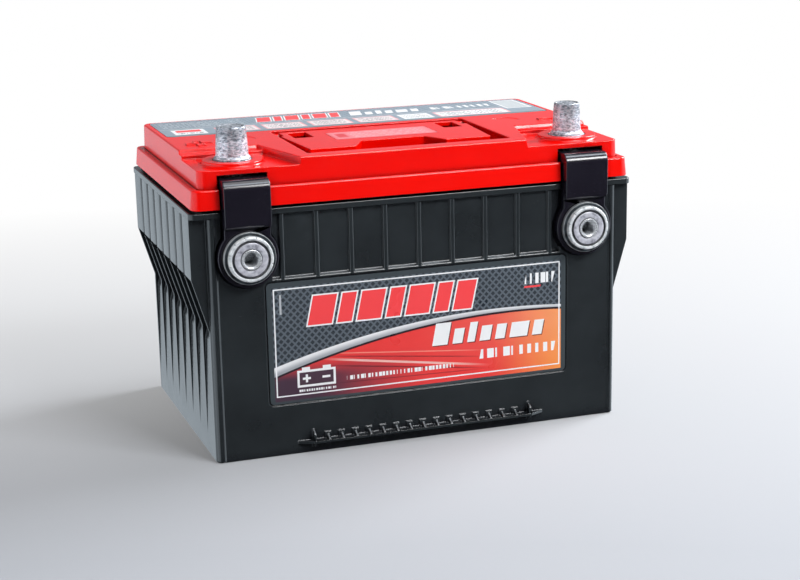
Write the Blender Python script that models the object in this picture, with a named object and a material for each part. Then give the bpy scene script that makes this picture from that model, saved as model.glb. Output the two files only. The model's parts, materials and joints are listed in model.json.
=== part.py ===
"""Dual-terminal deep cycle battery: a 12 V glass-mat battery in six cells.

A black case holds six stacks of lead plates.  A black inner lid closes the case and
carries the valves and the lead bushings of the two top posts.  A red top cover snaps
over the inner lid and holds the folding lifting handle.  From each top post a lead bar
runs forward and down, under a black strap cover, to a threaded terminal on the front.

Sizes are in millimetres and become metres in finish().  X runs along the battery, -Y is
its front face, +Z is up, and the origin is the centre of the base.
"""
import math

import bmesh
import bpy

MM = 0.001
GAP = 0.3
PAST = 5.0  # cutters run this far past the faces that they open

# Case
CASE_LENGTH = 260.0
CASE_WIDTH = 169.0
CASE_TOP = 152.6
CASE_CORNER = 4.0
FRONT = -CASE_WIDTH / 2
FLOOR = 3.0
END_INNER = 123.5
SIDE_INNER = 79.0
PARTITION = 2.0
PARTITION_TOP = 150.3
RIM_LENGTH = 279.6
RIM_WIDTH = 171.0
RIM_BOTTOM = 148.9

# Flared ends of the case: an apron hangs from the rim and stands on thin fins
FLARE_X = 139.5
FLARE_HALF_WIDTH = 80.9
APRON_BOTTOM = 112.6
APRON_THICKNESS = 2.7
FIN_FOOT = 80.3
FIN_PITCH = 20.0
FIN_COUNT = 9
FIN_THICKNESS = 1.8
CHANNEL_DEPTH = 3.7
CHANNEL_TOP = 145.0
CHANNEL_END = 4.3
APRON_GROOVE = 0.8

# Front and rear faces
RIB_COUNT = 9
RIB_PITCH = 21.35
RIB_WIDTH = 3.0
PANEL_BOTTOM = 109.5
PANEL_TOP = 148.3
PANEL_DEPTH = 1.8
PART_PANEL = 5.0
LABEL_BED_HALF = 97.0
LABEL_BED_BOTTOM = 31.6
LABEL_BED_TOP = 108.4
LABEL_BED_CORNER = 3.5
LABEL_BED_DEPTH = 0.9
LABEL_HALF = 96.0
LABEL_LOW = 32.6
LABEL_HIGH = 107.4
LABEL_DEPTH = 0.7
LEDGE_REACH = 5.0
LEDGE_TOP = 8.2
LEDGE_BOTTOM = 6.4
LEDGE_FIN_PITCH = 8.75
LEDGE_FINS = 15
LEDGE_END_FIN = 70.3
LEDGE_TIP = 80.0
BEAD_X = 126.5
BEAD_RADIUS = 3.0
BEAD_RISE = 0.8
RECESS_DEPTH = 3.0
RECESS_RADIUS = 19.2

# Cells
CELLS = 6
CELL_WIDTH = (2 * END_INNER - (CELLS - 1) * PARTITION) / CELLS
CELL_PITCH = CELL_WIDTH + PARTITION
PLATES = 15
PLATE_PITCH = 2.6
PLATE_THICKNESS = 1.3
PLATE_HALF = 74.0
PLATE_BOTTOM = 5.0
PLATE_TOP = 126.0
SEPARATOR_THICKNESS = 0.65
SEPARATOR_HALF = 75.5
SEPARATOR_TOP = 129.0
LUG_WIDTH = 11.0
STRAP_Y = 58.0
STRAP_BOTTOM = 134.0
STRAP_TOP = 139.5
STRAP_WIDTH = 15.0
STRAP_REACH = 19.3
WELD_Z = 145.3
WELD_RADIUS = 3.3
WELD_HEAD = 4.5
WELD_HEAD_THICKNESS = 1.6

# Inner lid
LID_LENGTH = 268.0
LID_WIDTH = 163.0
LID_BOTTOM = CASE_TOP + GAP
LID_TOP = 156.4
STUB_TOP = 174.3
STUB_RADIUS = 6.0
VALVE_Y = 45.0
VALVE_TOP = 176.9
VALVE_BOTTOM = 166.0
VALVE_RADIUS = 8.0
TOWER_TOP = 166.0
TOWER_RADIUS = 14.5
LID_BORE = 3.5

# Top cover
COVER_LENGTH = 276.0
COVER_WIDTH = 173.0
SKIRT_BOTTOM = 154.3
SKIRT_TOP = 165.8
TIER_LENGTH = 265.8
TIER_WIDTH = 163.4
SHELF = 176.3
COVER_TOP = 180.9
COVER_DRAFT = 1.0
COVER_CORNER = 6.0
COVER_WALL = 3.0
POCKET_FRONT_X = 71.0
POCKET_BACK_X = 84.0
POCKET_BACK_Y = -30.0
POCKET_STEP = 178.6
POCKET_STEP_DEPTH = 7.0
BOSS_RADIUS = 18.0
BOSS_TOP = 178.8
WELL_HALF = 64.3
WELL_FRONT = -72.0
WELL_BACK = 14.6
WELL_WALL = 2.7
VENT_X = 118.0
VENT_Z = 171.0
VENT_BORE = 5.8
VENT_PORT = 2.0
VENT_SOCKET = 7.6
VENT_SOCKET_LENGTH = 7.0
MARK_X = 115.0
MARK_Y = -12.0
MARK_RISE = 0.6
LABEL_TOP_HALF = 128.6
LABEL_TOP_FRONT = 19.0
LABEL_TOP_BACK = 79.0

# Terminals
POST_X = 107.0
POST_Y = -60.0
POST_TOP = 198.4
POST_SEGMENTS = 20
POST_RADII = {"positive": (9.75, 8.75), "negative": (8.95, 7.95)}
BUSHING_RADIUS = 11.2
BUSHING_BORE = 6.5
PILLAR_RADIUS = 6.2
BAR_WIDTH = 18.0
BAR_TOP = 169.0
BAR_THICKNESS = 2.7
BAR_FRONT = -87.3
SIDE_X = 106.6
SIDE_Z = 125.4
SIDE_FACE = -95.4
INSERT_RADIUS = 6.1
STUB_HOLE = 11.4
STRAP_COVER_INNER = 92.8
STRAP_COVER_OUTER = 120.6
STRAP_COVER_FRONT = -92.6
STRAP_COVER_TOP = 171.3
STRAP_COVER_BEND = 5.8
STRAP_COVER_FOOT = 145.8
STRAP_COVER_BACK = -77.5
STRAP_CUP_RADIUS = 18.2
STRAP_CLEARANCE = 0.9
FLANGE_RADIUS = 15.6
FLANGE_THICKNESS = 3.1
DISC_RADIUS = 13.4
GROOVE_INNER = 10.4
GROOVE_OUTER = 11.4
GROOVE_DEPTH = 0.9
THREAD_BORE = 4.2

# Lifting handle
HINGE_Y = 11.0
HINGE_Z = 177.3
BARREL_RADIUS = 2.8
HANDLE_THICKNESS = 3.0
HANDLE_TOP = HINGE_Z + BARREL_RADIUS
HANDLE_FRONT = -55.0
HANDLE_FRONT_HALF = 58.5
HANDLE_BACK_HALF = 63.6
TRUNNION_RADIUS = 2.2
TRUNNION_REACH = 2.0
NOTCH_FOOT = 29.0
NOTCH_HEAD = 20.5
NOTCH_DEPTH = 17.0
NOTCH_WALL = 2.5
NOTCH_WALL_BOTTOM = 173.8
WINDOW_INNER = 43.5
WINDOW_OUTER = 56.0
WINDOW_FRONT = -6.5
HANDLE_RIBS = (12.0, 34.0)
HANDLE_RIB_WIDTH = 1.6
HANDLE_RIB_BOTTOM = 174.6
CRADLE_WIDTH = 2.4
HANDLE_LABEL_HALF = 33.0
HANDLE_LABEL_FRONT = -28.5
HANDLE_LABEL_BACK = -2.5

FINISHES = {
    "black_plastic": ((0.018, 0.021, 0.023), 0.38, 0.0),
    "lid_plastic": ((0.045, 0.050, 0.055), 0.5, 0.0),
    "red_plastic": ((0.76, 0.012, 0.004), 0.33, 0.0),
    "lead": ((0.30, 0.30, 0.33), 0.55, 0.9),
    "steel": ((0.62, 0.62, 0.64), 0.28, 1.0),
    "positive_plate": ((0.10, 0.045, 0.03), 0.9, 0.0),
    "negative_plate": ((0.20, 0.20, 0.21), 0.85, 0.2),
    "glass_mat": ((0.85, 0.85, 0.82), 0.95, 0.0),
    "rubber": ((0.02, 0.02, 0.02), 0.7, 0.0),
    "porous_plastic": ((0.8, 0.8, 0.78), 0.9, 0.0),
    "film": ((0.25, 0.27, 0.29), 0.35, 0.0),
}


# ---------------------------------------------------------------- drawing helpers

def arc(centre, radius, start, end, steps):
    """Points on an arc, from start to end in degrees, ends included."""
    points = []
    for step in range(steps + 1):
        angle = math.radians(start + (end - start) * step / steps)
        points.append((centre[0] + radius * math.cos(angle), centre[1] + radius * math.sin(angle)))
    return points


def circle_at(centre, radius, segments):
    """A circle's points, each once."""
    return arc(centre, radius, 0, 360 - 360 / segments, segments - 1)


def rounded_rectangle(x_low, x_high, y_low, y_high, radius, steps=3):
    """Outline of a rectangle with round corners, anticlockwise."""
    corners = (
        (x_high - radius, y_low + radius, -90),
        (x_high - radius, y_high - radius, 0),
        (x_low + radius, y_high - radius, 90),
        (x_low + radius, y_low + radius, 180),
    )
    points = []
    for x, y, start in corners:
        points += arc((x, y), radius, start, start + 90, steps)
    return points


def centred_rectangle(length, width, radius, steps=3):
    return rounded_rectangle(-length / 2, length / 2, -width / 2, width / 2, radius, steps)


def rectangle(x_low, x_high, y_low, y_high):
    return [(x_low, y_low), (x_high, y_low), (x_high, y_high), (x_low, y_high)]


def mirrored(outline):
    """The outline on the other side of X = 0."""
    return [(-x, y) for x, y in reversed(outline)]


def place(axis, a, b, height):
    """A point of an outline (a, b) at a height along the extrusion axis."""
    if axis == "X":
        return (height, a, b)
    if axis == "Y":
        return (a, height, b)
    return (a, b, height)


def add_loft(bm, sections, axis="Z"):
    """A closed body through outlines of equal point counts, given as (outline, height)."""
    rings = []
    for outline, height in sections:
        rings.append([bm.verts.new(place(axis, a, b, height)) for a, b in outline])
    count = len(rings[0])
    for lower, upper in zip(rings, rings[1:]):
        for i in range(count):
            j = (i + 1) % count
            bm.faces.new((lower[i], lower[j], upper[j], upper[i]))
    bm.faces.new(rings[0])
    bm.faces.new(rings[-1])


def add_prism(bm, outline, low, high, axis="Z"):
    add_loft(bm, [(outline, low), (outline, high)], axis)


def add_box(bm, x, y, z):
    """A box from three (low, high) pairs."""
    add_prism(bm, rectangle(x[0], x[1], y[0], y[1]), z[0], z[1])


def add_turned(bm, profile, segments, centre=(0.0, 0.0), axis="Z", ring=False):
    """A turned body from (radius, height) points; a ring's profile closes on itself."""
    rings = []
    for radius, height in profile:
        if radius == 0:
            rings.append([bm.verts.new(place(axis, centre[0], centre[1], height))])
            continue
        circle = circle_at(centre, radius, segments)
        rings.append([bm.verts.new(place(axis, a, b, height)) for a, b in circle])
    pairs = list(zip(rings, rings[1:]))
    if ring:
        pairs.append((rings[-1], rings[0]))
    for lower, upper in pairs:
        for i in range(segments):
            j = (i + 1) % segments
            corners = [lower[i % len(lower)], lower[j % len(lower)]]
            corners += [upper[j % len(upper)], upper[i % len(upper)]]
            bm.faces.new(list(dict.fromkeys(corners)))


def solid(name, draw):
    """An object whose mesh is made by draw(bm), with its faces pointing out."""
    bm = bmesh.new()
    draw(bm)
    bmesh.ops.recalc_face_normals(bm, faces=bm.faces[:])
    mesh = bpy.data.meshes.new(name)
    bm.to_mesh(mesh)
    bm.free()
    obj = bpy.data.objects.new(name, mesh)
    bpy.context.scene.collection.objects.link(obj)
    return obj


def apply_tool(target, operation, tool):
    """Join, cut or keep target with a tool object, which is used up."""
    modifier = target.modifiers.new("combine", "BOOLEAN")
    modifier.operation = operation
    modifier.solver = "EXACT"
    modifier.object = tool
    graph = bpy.context.evaluated_depsgraph_get()
    result = bpy.data.meshes.new_from_object(target.evaluated_get(graph))
    target.modifiers.clear()
    spent = (target.data, tool.data)
    target.data = result
    bpy.data.objects.remove(tool)
    for mesh in spent:
        bpy.data.meshes.remove(mesh)


def combine(target, operation, draw):
    """Join, cut or keep target with the solid that draw(bm) makes."""
    apply_tool(target, operation, solid("tool", draw))


def cut(target, draw):
    combine(target, "DIFFERENCE", draw)


def join(target, draw):
    combine(target, "UNION", draw)


def finish(obj, finish_name, origin=(0.0, 0.0, 0.0), round_shape=False):
    """Turn millimetres into metres, set the origin and give the piece its material."""
    for vertex in obj.data.vertices:
        vertex.co = [(vertex.co[i] - origin[i]) * MM for i in range(3)]
    obj.location = [value * MM for value in origin]
    if round_shape:
        obj.data.shade_smooth()
        obj.data.set_sharp_from_angle(angle=math.radians(35))
    colour, roughness, metallic = FINISHES[finish_name]
    material = bpy.data.materials.new(obj.name + "_" + finish_name)
    material.use_nodes = True
    shader = material.node_tree.nodes["Principled BSDF"]
    shader.inputs["Base Color"].default_value = (*colour, 1.0)
    shader.inputs["Roughness"].default_value = roughness
    shader.inputs["Metallic"].default_value = metallic
    obj.data.materials.clear()
    obj.data.materials.append(material)
    return obj


def cell_centre(index):
    return -END_INNER + CELL_WIDTH / 2 + index * CELL_PITCH


# ---------------------------------------------------------------- case

def fin_lines():
    return [(i - (FIN_COUNT - 1) / 2) * FIN_PITCH for i in range(FIN_COUNT)]


def flare_outline():
    """Cross-section of a flared end, in X and Z."""
    half = CASE_LENGTH / 2
    slope = (FLARE_X - half) / (APRON_BOTTOM - FIN_FOOT)
    depth = 2.0
    return [
        (half - depth, FIN_FOOT - depth / slope),
        (FLARE_X, APRON_BOTTOM),
        (FLARE_X, RIM_BOTTOM + 1.0),
        (half - depth, RIM_BOTTOM + 1.0),
    ]


def channel_outline():
    """The hollow under the apron and the tapering channel that runs down from it."""
    half = CASE_LENGTH / 2
    clear = FLARE_X + 3.0
    return [
        (half + 0.2, CHANNEL_END),
        (clear, CHANNEL_END),
        (clear, APRON_BOTTOM),
        (FLARE_X - APRON_THICKNESS, APRON_BOTTOM),
        (FLARE_X - APRON_THICKNESS, CHANNEL_TOP),
        (half - CHANNEL_DEPTH, CHANNEL_TOP),
        (half - CHANNEL_DEPTH, FIN_FOOT),
    ]


def add_end_channels(bm):
    lines = fin_lines()
    for outline in (channel_outline(), mirrored(channel_outline())):
        for front, back in zip(lines, lines[1:]):
            low = front + FIN_THICKNESS / 2
            high = back - FIN_THICKNESS / 2
            add_prism(bm, outline, low, high, "Y")


def add_apron_grooves(bm):
    half = APRON_GROOVE
    z = (APRON_BOTTOM - PAST, RIM_BOTTOM - 0.2)
    for side in (-1, 1):
        for line in fin_lines()[1:-1]:
            x = sorted((side * (FLARE_X - APRON_GROOVE), side * (FLARE_X + PAST)))
            add_box(bm, x, (line - half, line + half), z)


def add_rib_panels(bm):
    """Recesses between the front ribs, with a part panel outside the last rib."""
    edges = [(i - (RIB_COUNT - 1) / 2) * RIB_PITCH for i in range(RIB_COUNT)]
    spans = [(a + RIB_WIDTH / 2, b - RIB_WIDTH / 2) for a, b in zip(edges, edges[1:])]
    last = edges[-1] + RIB_WIDTH / 2
    spans += [(last, last + PART_PANEL), (-last - PART_PANEL, -last)]
    for side in (-1, 1):
        y = sorted((side * (-FRONT - PANEL_DEPTH), side * (-FRONT + PAST)))
        for span in spans:
            add_box(bm, span, y, (PANEL_BOTTOM, PANEL_TOP))


def add_label_bed(bm):
    outline = rounded_rectangle(
        -LABEL_BED_HALF, LABEL_BED_HALF, LABEL_BED_BOTTOM, LABEL_BED_TOP, LABEL_BED_CORNER)
    add_prism(bm, outline, FRONT - PAST, FRONT + LABEL_BED_DEPTH, "Y")


def terminal_recess_outline(clearance, bottom_radius, top):
    """Keyhole around a side terminal: a round foot and a straight neck up to a height."""
    inner = STRAP_COVER_INNER - clearance
    outer = STRAP_COVER_OUTER + clearance
    half = (outer - inner) / 2
    rise = math.degrees(math.acos(half / bottom_radius))
    round_part = arc((SIDE_X, SIDE_Z), bottom_radius, 180 - rise, 360 + rise, 12)
    return [(outer, top), (inner, top)] + round_part


def add_terminal_recesses(bm):
    outline = terminal_recess_outline(STRAP_CLEARANCE, RECESS_RADIUS, CASE_TOP + PAST)
    for shape in (outline, mirrored(outline)):
        add_prism(bm, shape, FRONT - PAST, FRONT + RECESS_DEPTH, "Y")


def ledge_outline(side):
    """Hold-down ledge seen from above, on the front (-1) or the rear (+1)."""
    wall = side * (-FRONT - 1.0)
    reach = side * (-FRONT + LEDGE_REACH)
    tip = side * (-FRONT + 0.6)
    return [
        (-LEDGE_TIP, wall), (-LEDGE_TIP, tip), (-LEDGE_END_FIN, reach),
        (LEDGE_END_FIN, reach), (LEDGE_TIP, tip), (LEDGE_TIP, wall),
    ]


def add_ledges(bm):
    for side in (-1, 1):
        add_prism(bm, ledge_outline(side), LEDGE_BOTTOM, LEDGE_TOP)


def add_ledge_fins(bm):
    thickness = 1.4
    wall = -FRONT - 1.0
    tip = -FRONT + LEDGE_REACH - 0.2
    small = [(wall, 11.9), (-FRONT, 11.4), (tip, 8.6), (tip, 6.2), (-FRONT, 3.8), (wall, 3.4)]
    tall = [
        (wall, 15.2), (-FRONT, 15.0), (tip - 1.0, 13.4), (tip, 12.0),
        (tip, 5.4), (-FRONT, 3.2), (wall, 2.8),
    ]
    half_count = (LEDGE_FINS - 1) // 2
    places = [(i * LEDGE_FIN_PITCH, small) for i in range(-half_count, half_count + 1)]
    places += [(-LEDGE_END_FIN, tall), (LEDGE_END_FIN, tall)]
    for side in (-1, 1):
        for x, outline in places:
            shape = [(side * y, z) for y, z in outline]
            add_prism(bm, shape, x - thickness / 2, x + thickness / 2, "X")


def add_corner_beads(bm):
    for x in (-BEAD_X, BEAD_X):
        for side in (-1, 1):
            centre = (x, side * (-FRONT - BEAD_RADIUS + BEAD_RISE))
            add_prism(bm, circle_at(centre, BEAD_RADIUS, 10), 1.0, RIM_BOTTOM + 1.0)


def add_cells(bm):
    for index in range(CELLS):
        x = cell_centre(index)
        half = CELL_WIDTH / 2
        outline = rounded_rectangle(x - half, x + half, -SIDE_INNER, SIDE_INNER, 1.5, 2)
        add_prism(bm, outline, FLOOR, CASE_TOP + PAST)


def weld_places():
    """X and Y of the welds; they alternate between the rear and the front."""
    places = []
    for index in range(CELLS - 1):
        x = cell_centre(index) + CELL_PITCH / 2
        places.append((x, STRAP_Y if index % 2 == 0 else -STRAP_Y))
    return places


def add_weld_holes(bm):
    for x, y in weld_places():
        circle = circle_at((y, WELD_Z), WELD_RADIUS + GAP, 10)
        add_prism(bm, circle, x - PARTITION, x + PARTITION, "X")


def make_case():
    case = solid("case", lambda bm: add_prism(
        bm, centred_rectangle(CASE_LENGTH, CASE_WIDTH, CASE_CORNER), 0.0, CASE_TOP))
    join(case, add_corner_beads)
    for outline in (flare_outline(), mirrored(flare_outline())):
        join(case, lambda bm: add_prism(bm, outline, -FLARE_HALF_WIDTH, FLARE_HALF_WIDTH, "Y"))
    join(case, lambda bm: add_prism(
        bm, centred_rectangle(RIM_LENGTH, RIM_WIDTH, CASE_CORNER), RIM_BOTTOM, CASE_TOP))
    join(case, add_ledges)
    join(case, add_ledge_fins)
    cut(case, add_end_channels)
    cut(case, add_apron_grooves)
    cut(case, add_rib_panels)
    cut(case, add_label_bed)
    cut(case, add_terminal_recesses)
    cut(case, add_cells)
    cut(case, lambda bm: add_box(
        bm, (-END_INNER + 1.0, END_INNER - 1.0), (-SIDE_INNER + 1.0, SIDE_INNER - 1.0),
        (PARTITION_TOP, CASE_TOP + PAST)))
    cut(case, add_weld_holes)
    return finish(case, "black_plastic")


# ---------------------------------------------------------------- cells

def plate_places(index):
    """X of every plate in a cell; even ones are negative, odd ones positive."""
    start = cell_centre(index) - (PLATES - 1) / 2 * PLATE_PITCH
    return [start + i * PLATE_PITCH for i in range(PLATES)]


def strap_side(index, polarity):
    """Front (-1) or rear (+1) side of a group's strap; neighbouring cells alternate."""
    positive = -1 if index % 2 == 0 else 1
    return positive if polarity == "positive" else -positive


def plate_outline(side):
    """A plate with its lug, in Y and Z; the lug ends inside the strap."""
    low = side * STRAP_Y - LUG_WIDTH / 2
    high = side * STRAP_Y + LUG_WIDTH / 2
    lug_top = STRAP_BOTTOM + 2.0
    return [
        (-PLATE_HALF, PLATE_BOTTOM), (PLATE_HALF, PLATE_BOTTOM), (PLATE_HALF, PLATE_TOP),
        (high, PLATE_TOP), (high, lug_top), (low, lug_top), (low, PLATE_TOP), (-PLATE_HALF, PLATE_TOP),
    ]


def make_plate_group(index, polarity):
    """Plates of one polarity hanging from their cast strap, with a lug for the weld."""
    side = strap_side(index, polarity)
    first = 1 if polarity == "positive" else 0
    centre = cell_centre(index)
    toward = -1 if polarity == "positive" else 1
    y = (side * STRAP_Y - STRAP_WIDTH / 2, side * STRAP_Y + STRAP_WIDTH / 2)
    name = polarity + "_plate_group_" + str(index + 1)
    group = solid(name, lambda bm: add_box(
        bm, (centre - STRAP_REACH, centre + STRAP_REACH), y, (STRAP_BOTTOM, STRAP_TOP)))
    carries_post = index == (0 if polarity == "positive" else CELLS - 1)
    if not carries_post:
        face = centre + toward * (CELL_WIDTH / 2 - GAP - WELD_HEAD_THICKNESS - GAP)
        lug = sorted((face, face - toward * 3.0))
        join(group, lambda bm: add_box(bm, lug, y, (STRAP_TOP - 1.0, WELD_Z + WELD_HEAD)))

    def add_plates(bm):
        half = PLATE_THICKNESS / 2
        for x in plate_places(index)[first::2]:
            add_prism(bm, plate_outline(side), x - half, x + half, "X")

    join(group, add_plates)
    return finish(group, polarity + "_plate")


def ribbon_outline(places):
    """A ribbon folded to and fro between plates, in X and Y.

    Its left edge and its right edge, seen along the ribbon, are walked one after the other.
    """
    half = SEPARATOR_THICKNESS / 2
    legs = [(a + b) / 2 for a, b in zip(places, places[1:])]
    left = [(legs[0] - half, -SEPARATOR_HALF)]
    right = [(legs[0] + half, -SEPARATOR_HALF)]
    way = 1
    for x, following in zip(legs, legs[1:]):
        fold = way * SEPARATOR_HALF
        left += [(x - way * half, fold + half), (following + way * half, fold + half)]
        right += [(x + way * half, fold - half), (following - way * half, fold - half)]
        way = -way
    left.append((legs[-1] - way * half, way * SEPARATOR_HALF))
    right.append((legs[-1] + way * half, way * SEPARATOR_HALF))
    return left + right[::-1]


def make_separator(index):
    outline = ribbon_outline(plate_places(index))
    mat = solid("glass_mat_" + str(index + 1), lambda bm: add_prism(
        bm, outline, FLOOR + GAP, SEPARATOR_TOP))
    return finish(mat, "glass_mat")


def make_cell_weld(number, x, y):
    """A lead weld through a partition, with a head against each of the two lugs."""
    half = PARTITION / 2 + GAP
    head = half + WELD_HEAD_THICKNESS
    profile = [
        (0, -head), (WELD_HEAD, -head), (WELD_HEAD, -half), (WELD_RADIUS, -half),
        (WELD_RADIUS, half), (WELD_HEAD, half), (WELD_HEAD, head), (0, head),
    ]
    shifted = [(radius, x + height) for radius, height in profile]
    weld = solid("cell_weld_" + str(number), lambda bm: add_turned(bm, shifted, 12, (y, WELD_Z), "X"))
    return finish(weld, "lead", round_shape=True)


# ---------------------------------------------------------------- inner lid and valves

def add_lid_stubs(bm):
    """Valve stubs and bushing towers that stand on the lid plate."""
    for index in range(CELLS):
        circle = circle_at((cell_centre(index), VALVE_Y), STUB_RADIUS, 12)
        add_prism(bm, circle, LID_TOP - 1.0, STUB_TOP)
    for side in (-1, 1):
        circle = circle_at((side * POST_X, POST_Y), TOWER_RADIUS, 18)
        add_prism(bm, circle, LID_TOP - 1.0, TOWER_TOP)


def add_lid_bores(bm):
    for index in range(CELLS):
        circle = circle_at((cell_centre(index), VALVE_Y), LID_BORE, 8)
        add_prism(bm, circle, LID_BOTTOM - PAST, STUB_TOP + PAST)
    for side in (-1, 1):
        circle = circle_at((side * POST_X, POST_Y), BUSHING_RADIUS + GAP, POST_SEGMENTS)
        add_prism(bm, circle, LID_BOTTOM - PAST, TOWER_TOP + PAST)


def make_inner_lid():
    lid = solid("inner_lid", lambda bm: add_prism(
        bm, centred_rectangle(LID_LENGTH, LID_WIDTH, COVER_CORNER), LID_BOTTOM, LID_TOP))
    join(lid, add_lid_stubs)
    cut(lid, add_lid_bores)
    return finish(lid, "lid_plastic")


def make_relief_valve(index):
    """A rubber cap on a stub; its origin is on the stub's axis, where it lifts."""
    x = cell_centre(index)
    inside = STUB_RADIUS + GAP
    roof = STUB_TOP + GAP
    profile = [
        (0, roof), (inside, roof), (inside, VALVE_BOTTOM), (VALVE_RADIUS, VALVE_BOTTOM),
        (VALVE_RADIUS, VALVE_TOP - 1.0), (VALVE_RADIUS - 1.0, VALVE_TOP), (0, VALVE_TOP),
    ]
    valve = solid("relief_valve_" + str(index + 1), lambda bm: add_turned(
        bm, profile, 12, (x, VALVE_Y)))
    return finish(valve, "rubber", origin=(x, VALVE_Y, VALVE_BOTTOM), round_shape=True)


# ---------------------------------------------------------------- top cover

def pocket_outline(back):
    """Right-hand terminal pocket seen from above, up to its back wall."""
    outside = COVER_LENGTH / 2 + PAST
    front = -TIER_WIDTH / 2
    slant = (POCKET_BACK_X - POCKET_FRONT_X) / (POCKET_BACK_Y - front)
    inner_back = POCKET_FRONT_X + slant * (back - front)
    return [
        (POCKET_FRONT_X - slant * PAST, front - PAST), (outside, front - PAST),
        (outside, back), (inner_back, back),
    ]


def raised_void_outline():
    """The hollow under the raised middle of the cover, clear of the pockets' walls."""
    wall = COVER_WALL
    x = TIER_LENGTH / 2 - wall
    y = TIER_WIDTH / 2 - wall
    right = [
        (POCKET_FRONT_X - wall, -y), (POCKET_BACK_X - wall, POCKET_BACK_Y + wall),
        (x, POCKET_BACK_Y + wall), (x, y),
    ]
    return right + mirrored(right)


def make_cover_void():
    """The whole hollow under the cover, left solid where the handle well stands."""
    wall = COVER_WALL
    below = SKIRT_BOTTOM - 4.0
    void = solid("cover_void", lambda bm: add_prism(
        bm, centred_rectangle(COVER_LENGTH - 2 * wall, COVER_WIDTH - 2 * wall, wall),
        below, SKIRT_TOP - wall))
    join(void, lambda bm: add_prism(
        bm, centred_rectangle(TIER_LENGTH - 2 * wall, TIER_WIDTH - 2 * wall, wall),
        below - 1.0, SHELF - wall))
    join(void, lambda bm: add_prism(bm, raised_void_outline(), SKIRT_BOTTOM, COVER_TOP - wall))
    half = WELL_HALF + WELL_WALL
    cut(void, lambda bm: add_box(
        bm, (-half, half), (WELL_FRONT - WELL_WALL, WELL_BACK + WELL_WALL),
        (LID_TOP + GAP, COVER_TOP + PAST)))
    return void


def add_cover_marks(bm):
    """Raised plus and minus marks behind the posts."""
    half, thin = 4.5, 1.3
    x, y = MARK_X, MARK_Y
    z = (COVER_TOP - 1.0, COVER_TOP + MARK_RISE)
    plus = [
        (-half, -thin), (-thin, -thin), (-thin, -half), (thin, -half), (thin, -thin), (half, -thin),
        (half, thin), (thin, thin), (thin, half), (-thin, half), (-thin, thin), (-half, thin),
    ]
    add_prism(bm, [(a - x, b + y) for a, b in plus], z[0], z[1])
    add_box(bm, (x - half, x + half), (y - thin, y + thin), z)


def add_cover_openings(bm):
    """Post holes, the handle well and the holes for the handle's trunnions."""
    for side in (-1, 1):
        circle = circle_at((side * POST_X, POST_Y), BUSHING_RADIUS + GAP, POST_SEGMENTS)
        add_prism(bm, circle, SHELF - PAST, COVER_TOP + PAST)
    well = rounded_rectangle(-WELL_HALF, WELL_HALF, WELL_FRONT, WELL_BACK, 2.0)
    add_prism(bm, well, LID_TOP - PAST, COVER_TOP + PAST)


def add_trunnion_holes(bm):
    for side in (-1, 1):
        circle = circle_at((HINGE_Y, HINGE_Z), TRUNNION_RADIUS + GAP, 12)
        x = sorted((side * (WELL_HALF - PAST), side * (WELL_HALF + PAST)))
        add_prism(bm, circle, x[0], x[1], "X")


def add_hinge_cradles(bm):
    """Fins on the well's rear wall that carry the handle's pins inside its windows."""
    middle = (WINDOW_INNER + WINDOW_OUTER) / 2
    rear = WELL_BACK + 1.0
    top = HINGE_Z - TRUNNION_RADIUS - GAP
    outline = [(rear, top - 10.0), (rear, top), (HINGE_Y - 3.0, top), (HINGE_Y - 9.0, top - 10.0)]
    for side in (-1, 1):
        x = side * middle
        add_prism(bm, outline, x - CRADLE_WIDTH / 2, x + CRADLE_WIDTH / 2, "X")


def add_strap_notches(bm):
    """Openings through the cover's front wall for the two strap covers."""
    span = (STRAP_COVER_INNER - STRAP_CLEARANCE, STRAP_COVER_OUTER + STRAP_CLEARANCE)
    y = (-COVER_WIDTH / 2 - PAST, -TIER_WIDTH / 2 + COVER_WALL + PAST)
    for x in (span, (-span[1], -span[0])):
        add_box(bm, x, y, (SKIRT_BOTTOM - PAST, SHELF - COVER_WALL - 0.1))


def add_vent_sockets(bm):
    for side in (-1, 1):
        circle = circle_at((side * VENT_X, VENT_Z), VENT_SOCKET, 12)
        inside = TIER_WIDTH / 2 - COVER_WALL
        add_prism(bm, circle, inside - VENT_SOCKET_LENGTH, inside + 0.5, "Y")


def add_vent_bores(bm):
    """Stepped bores: a socket for the arrestor and a small port through the rear wall."""
    inside = TIER_WIDTH / 2 - COVER_WALL
    low = inside - VENT_SOCKET_LENGTH - PAST
    high = TIER_WIDTH / 2 + PAST
    profile = [
        (0, low), (VENT_BORE, low), (VENT_BORE, inside),
        (VENT_PORT, inside), (VENT_PORT, high), (0, high),
    ]
    for side in (-1, 1):
        add_turned(bm, profile, 12, (side * VENT_X, VENT_Z), "Y")


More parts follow.
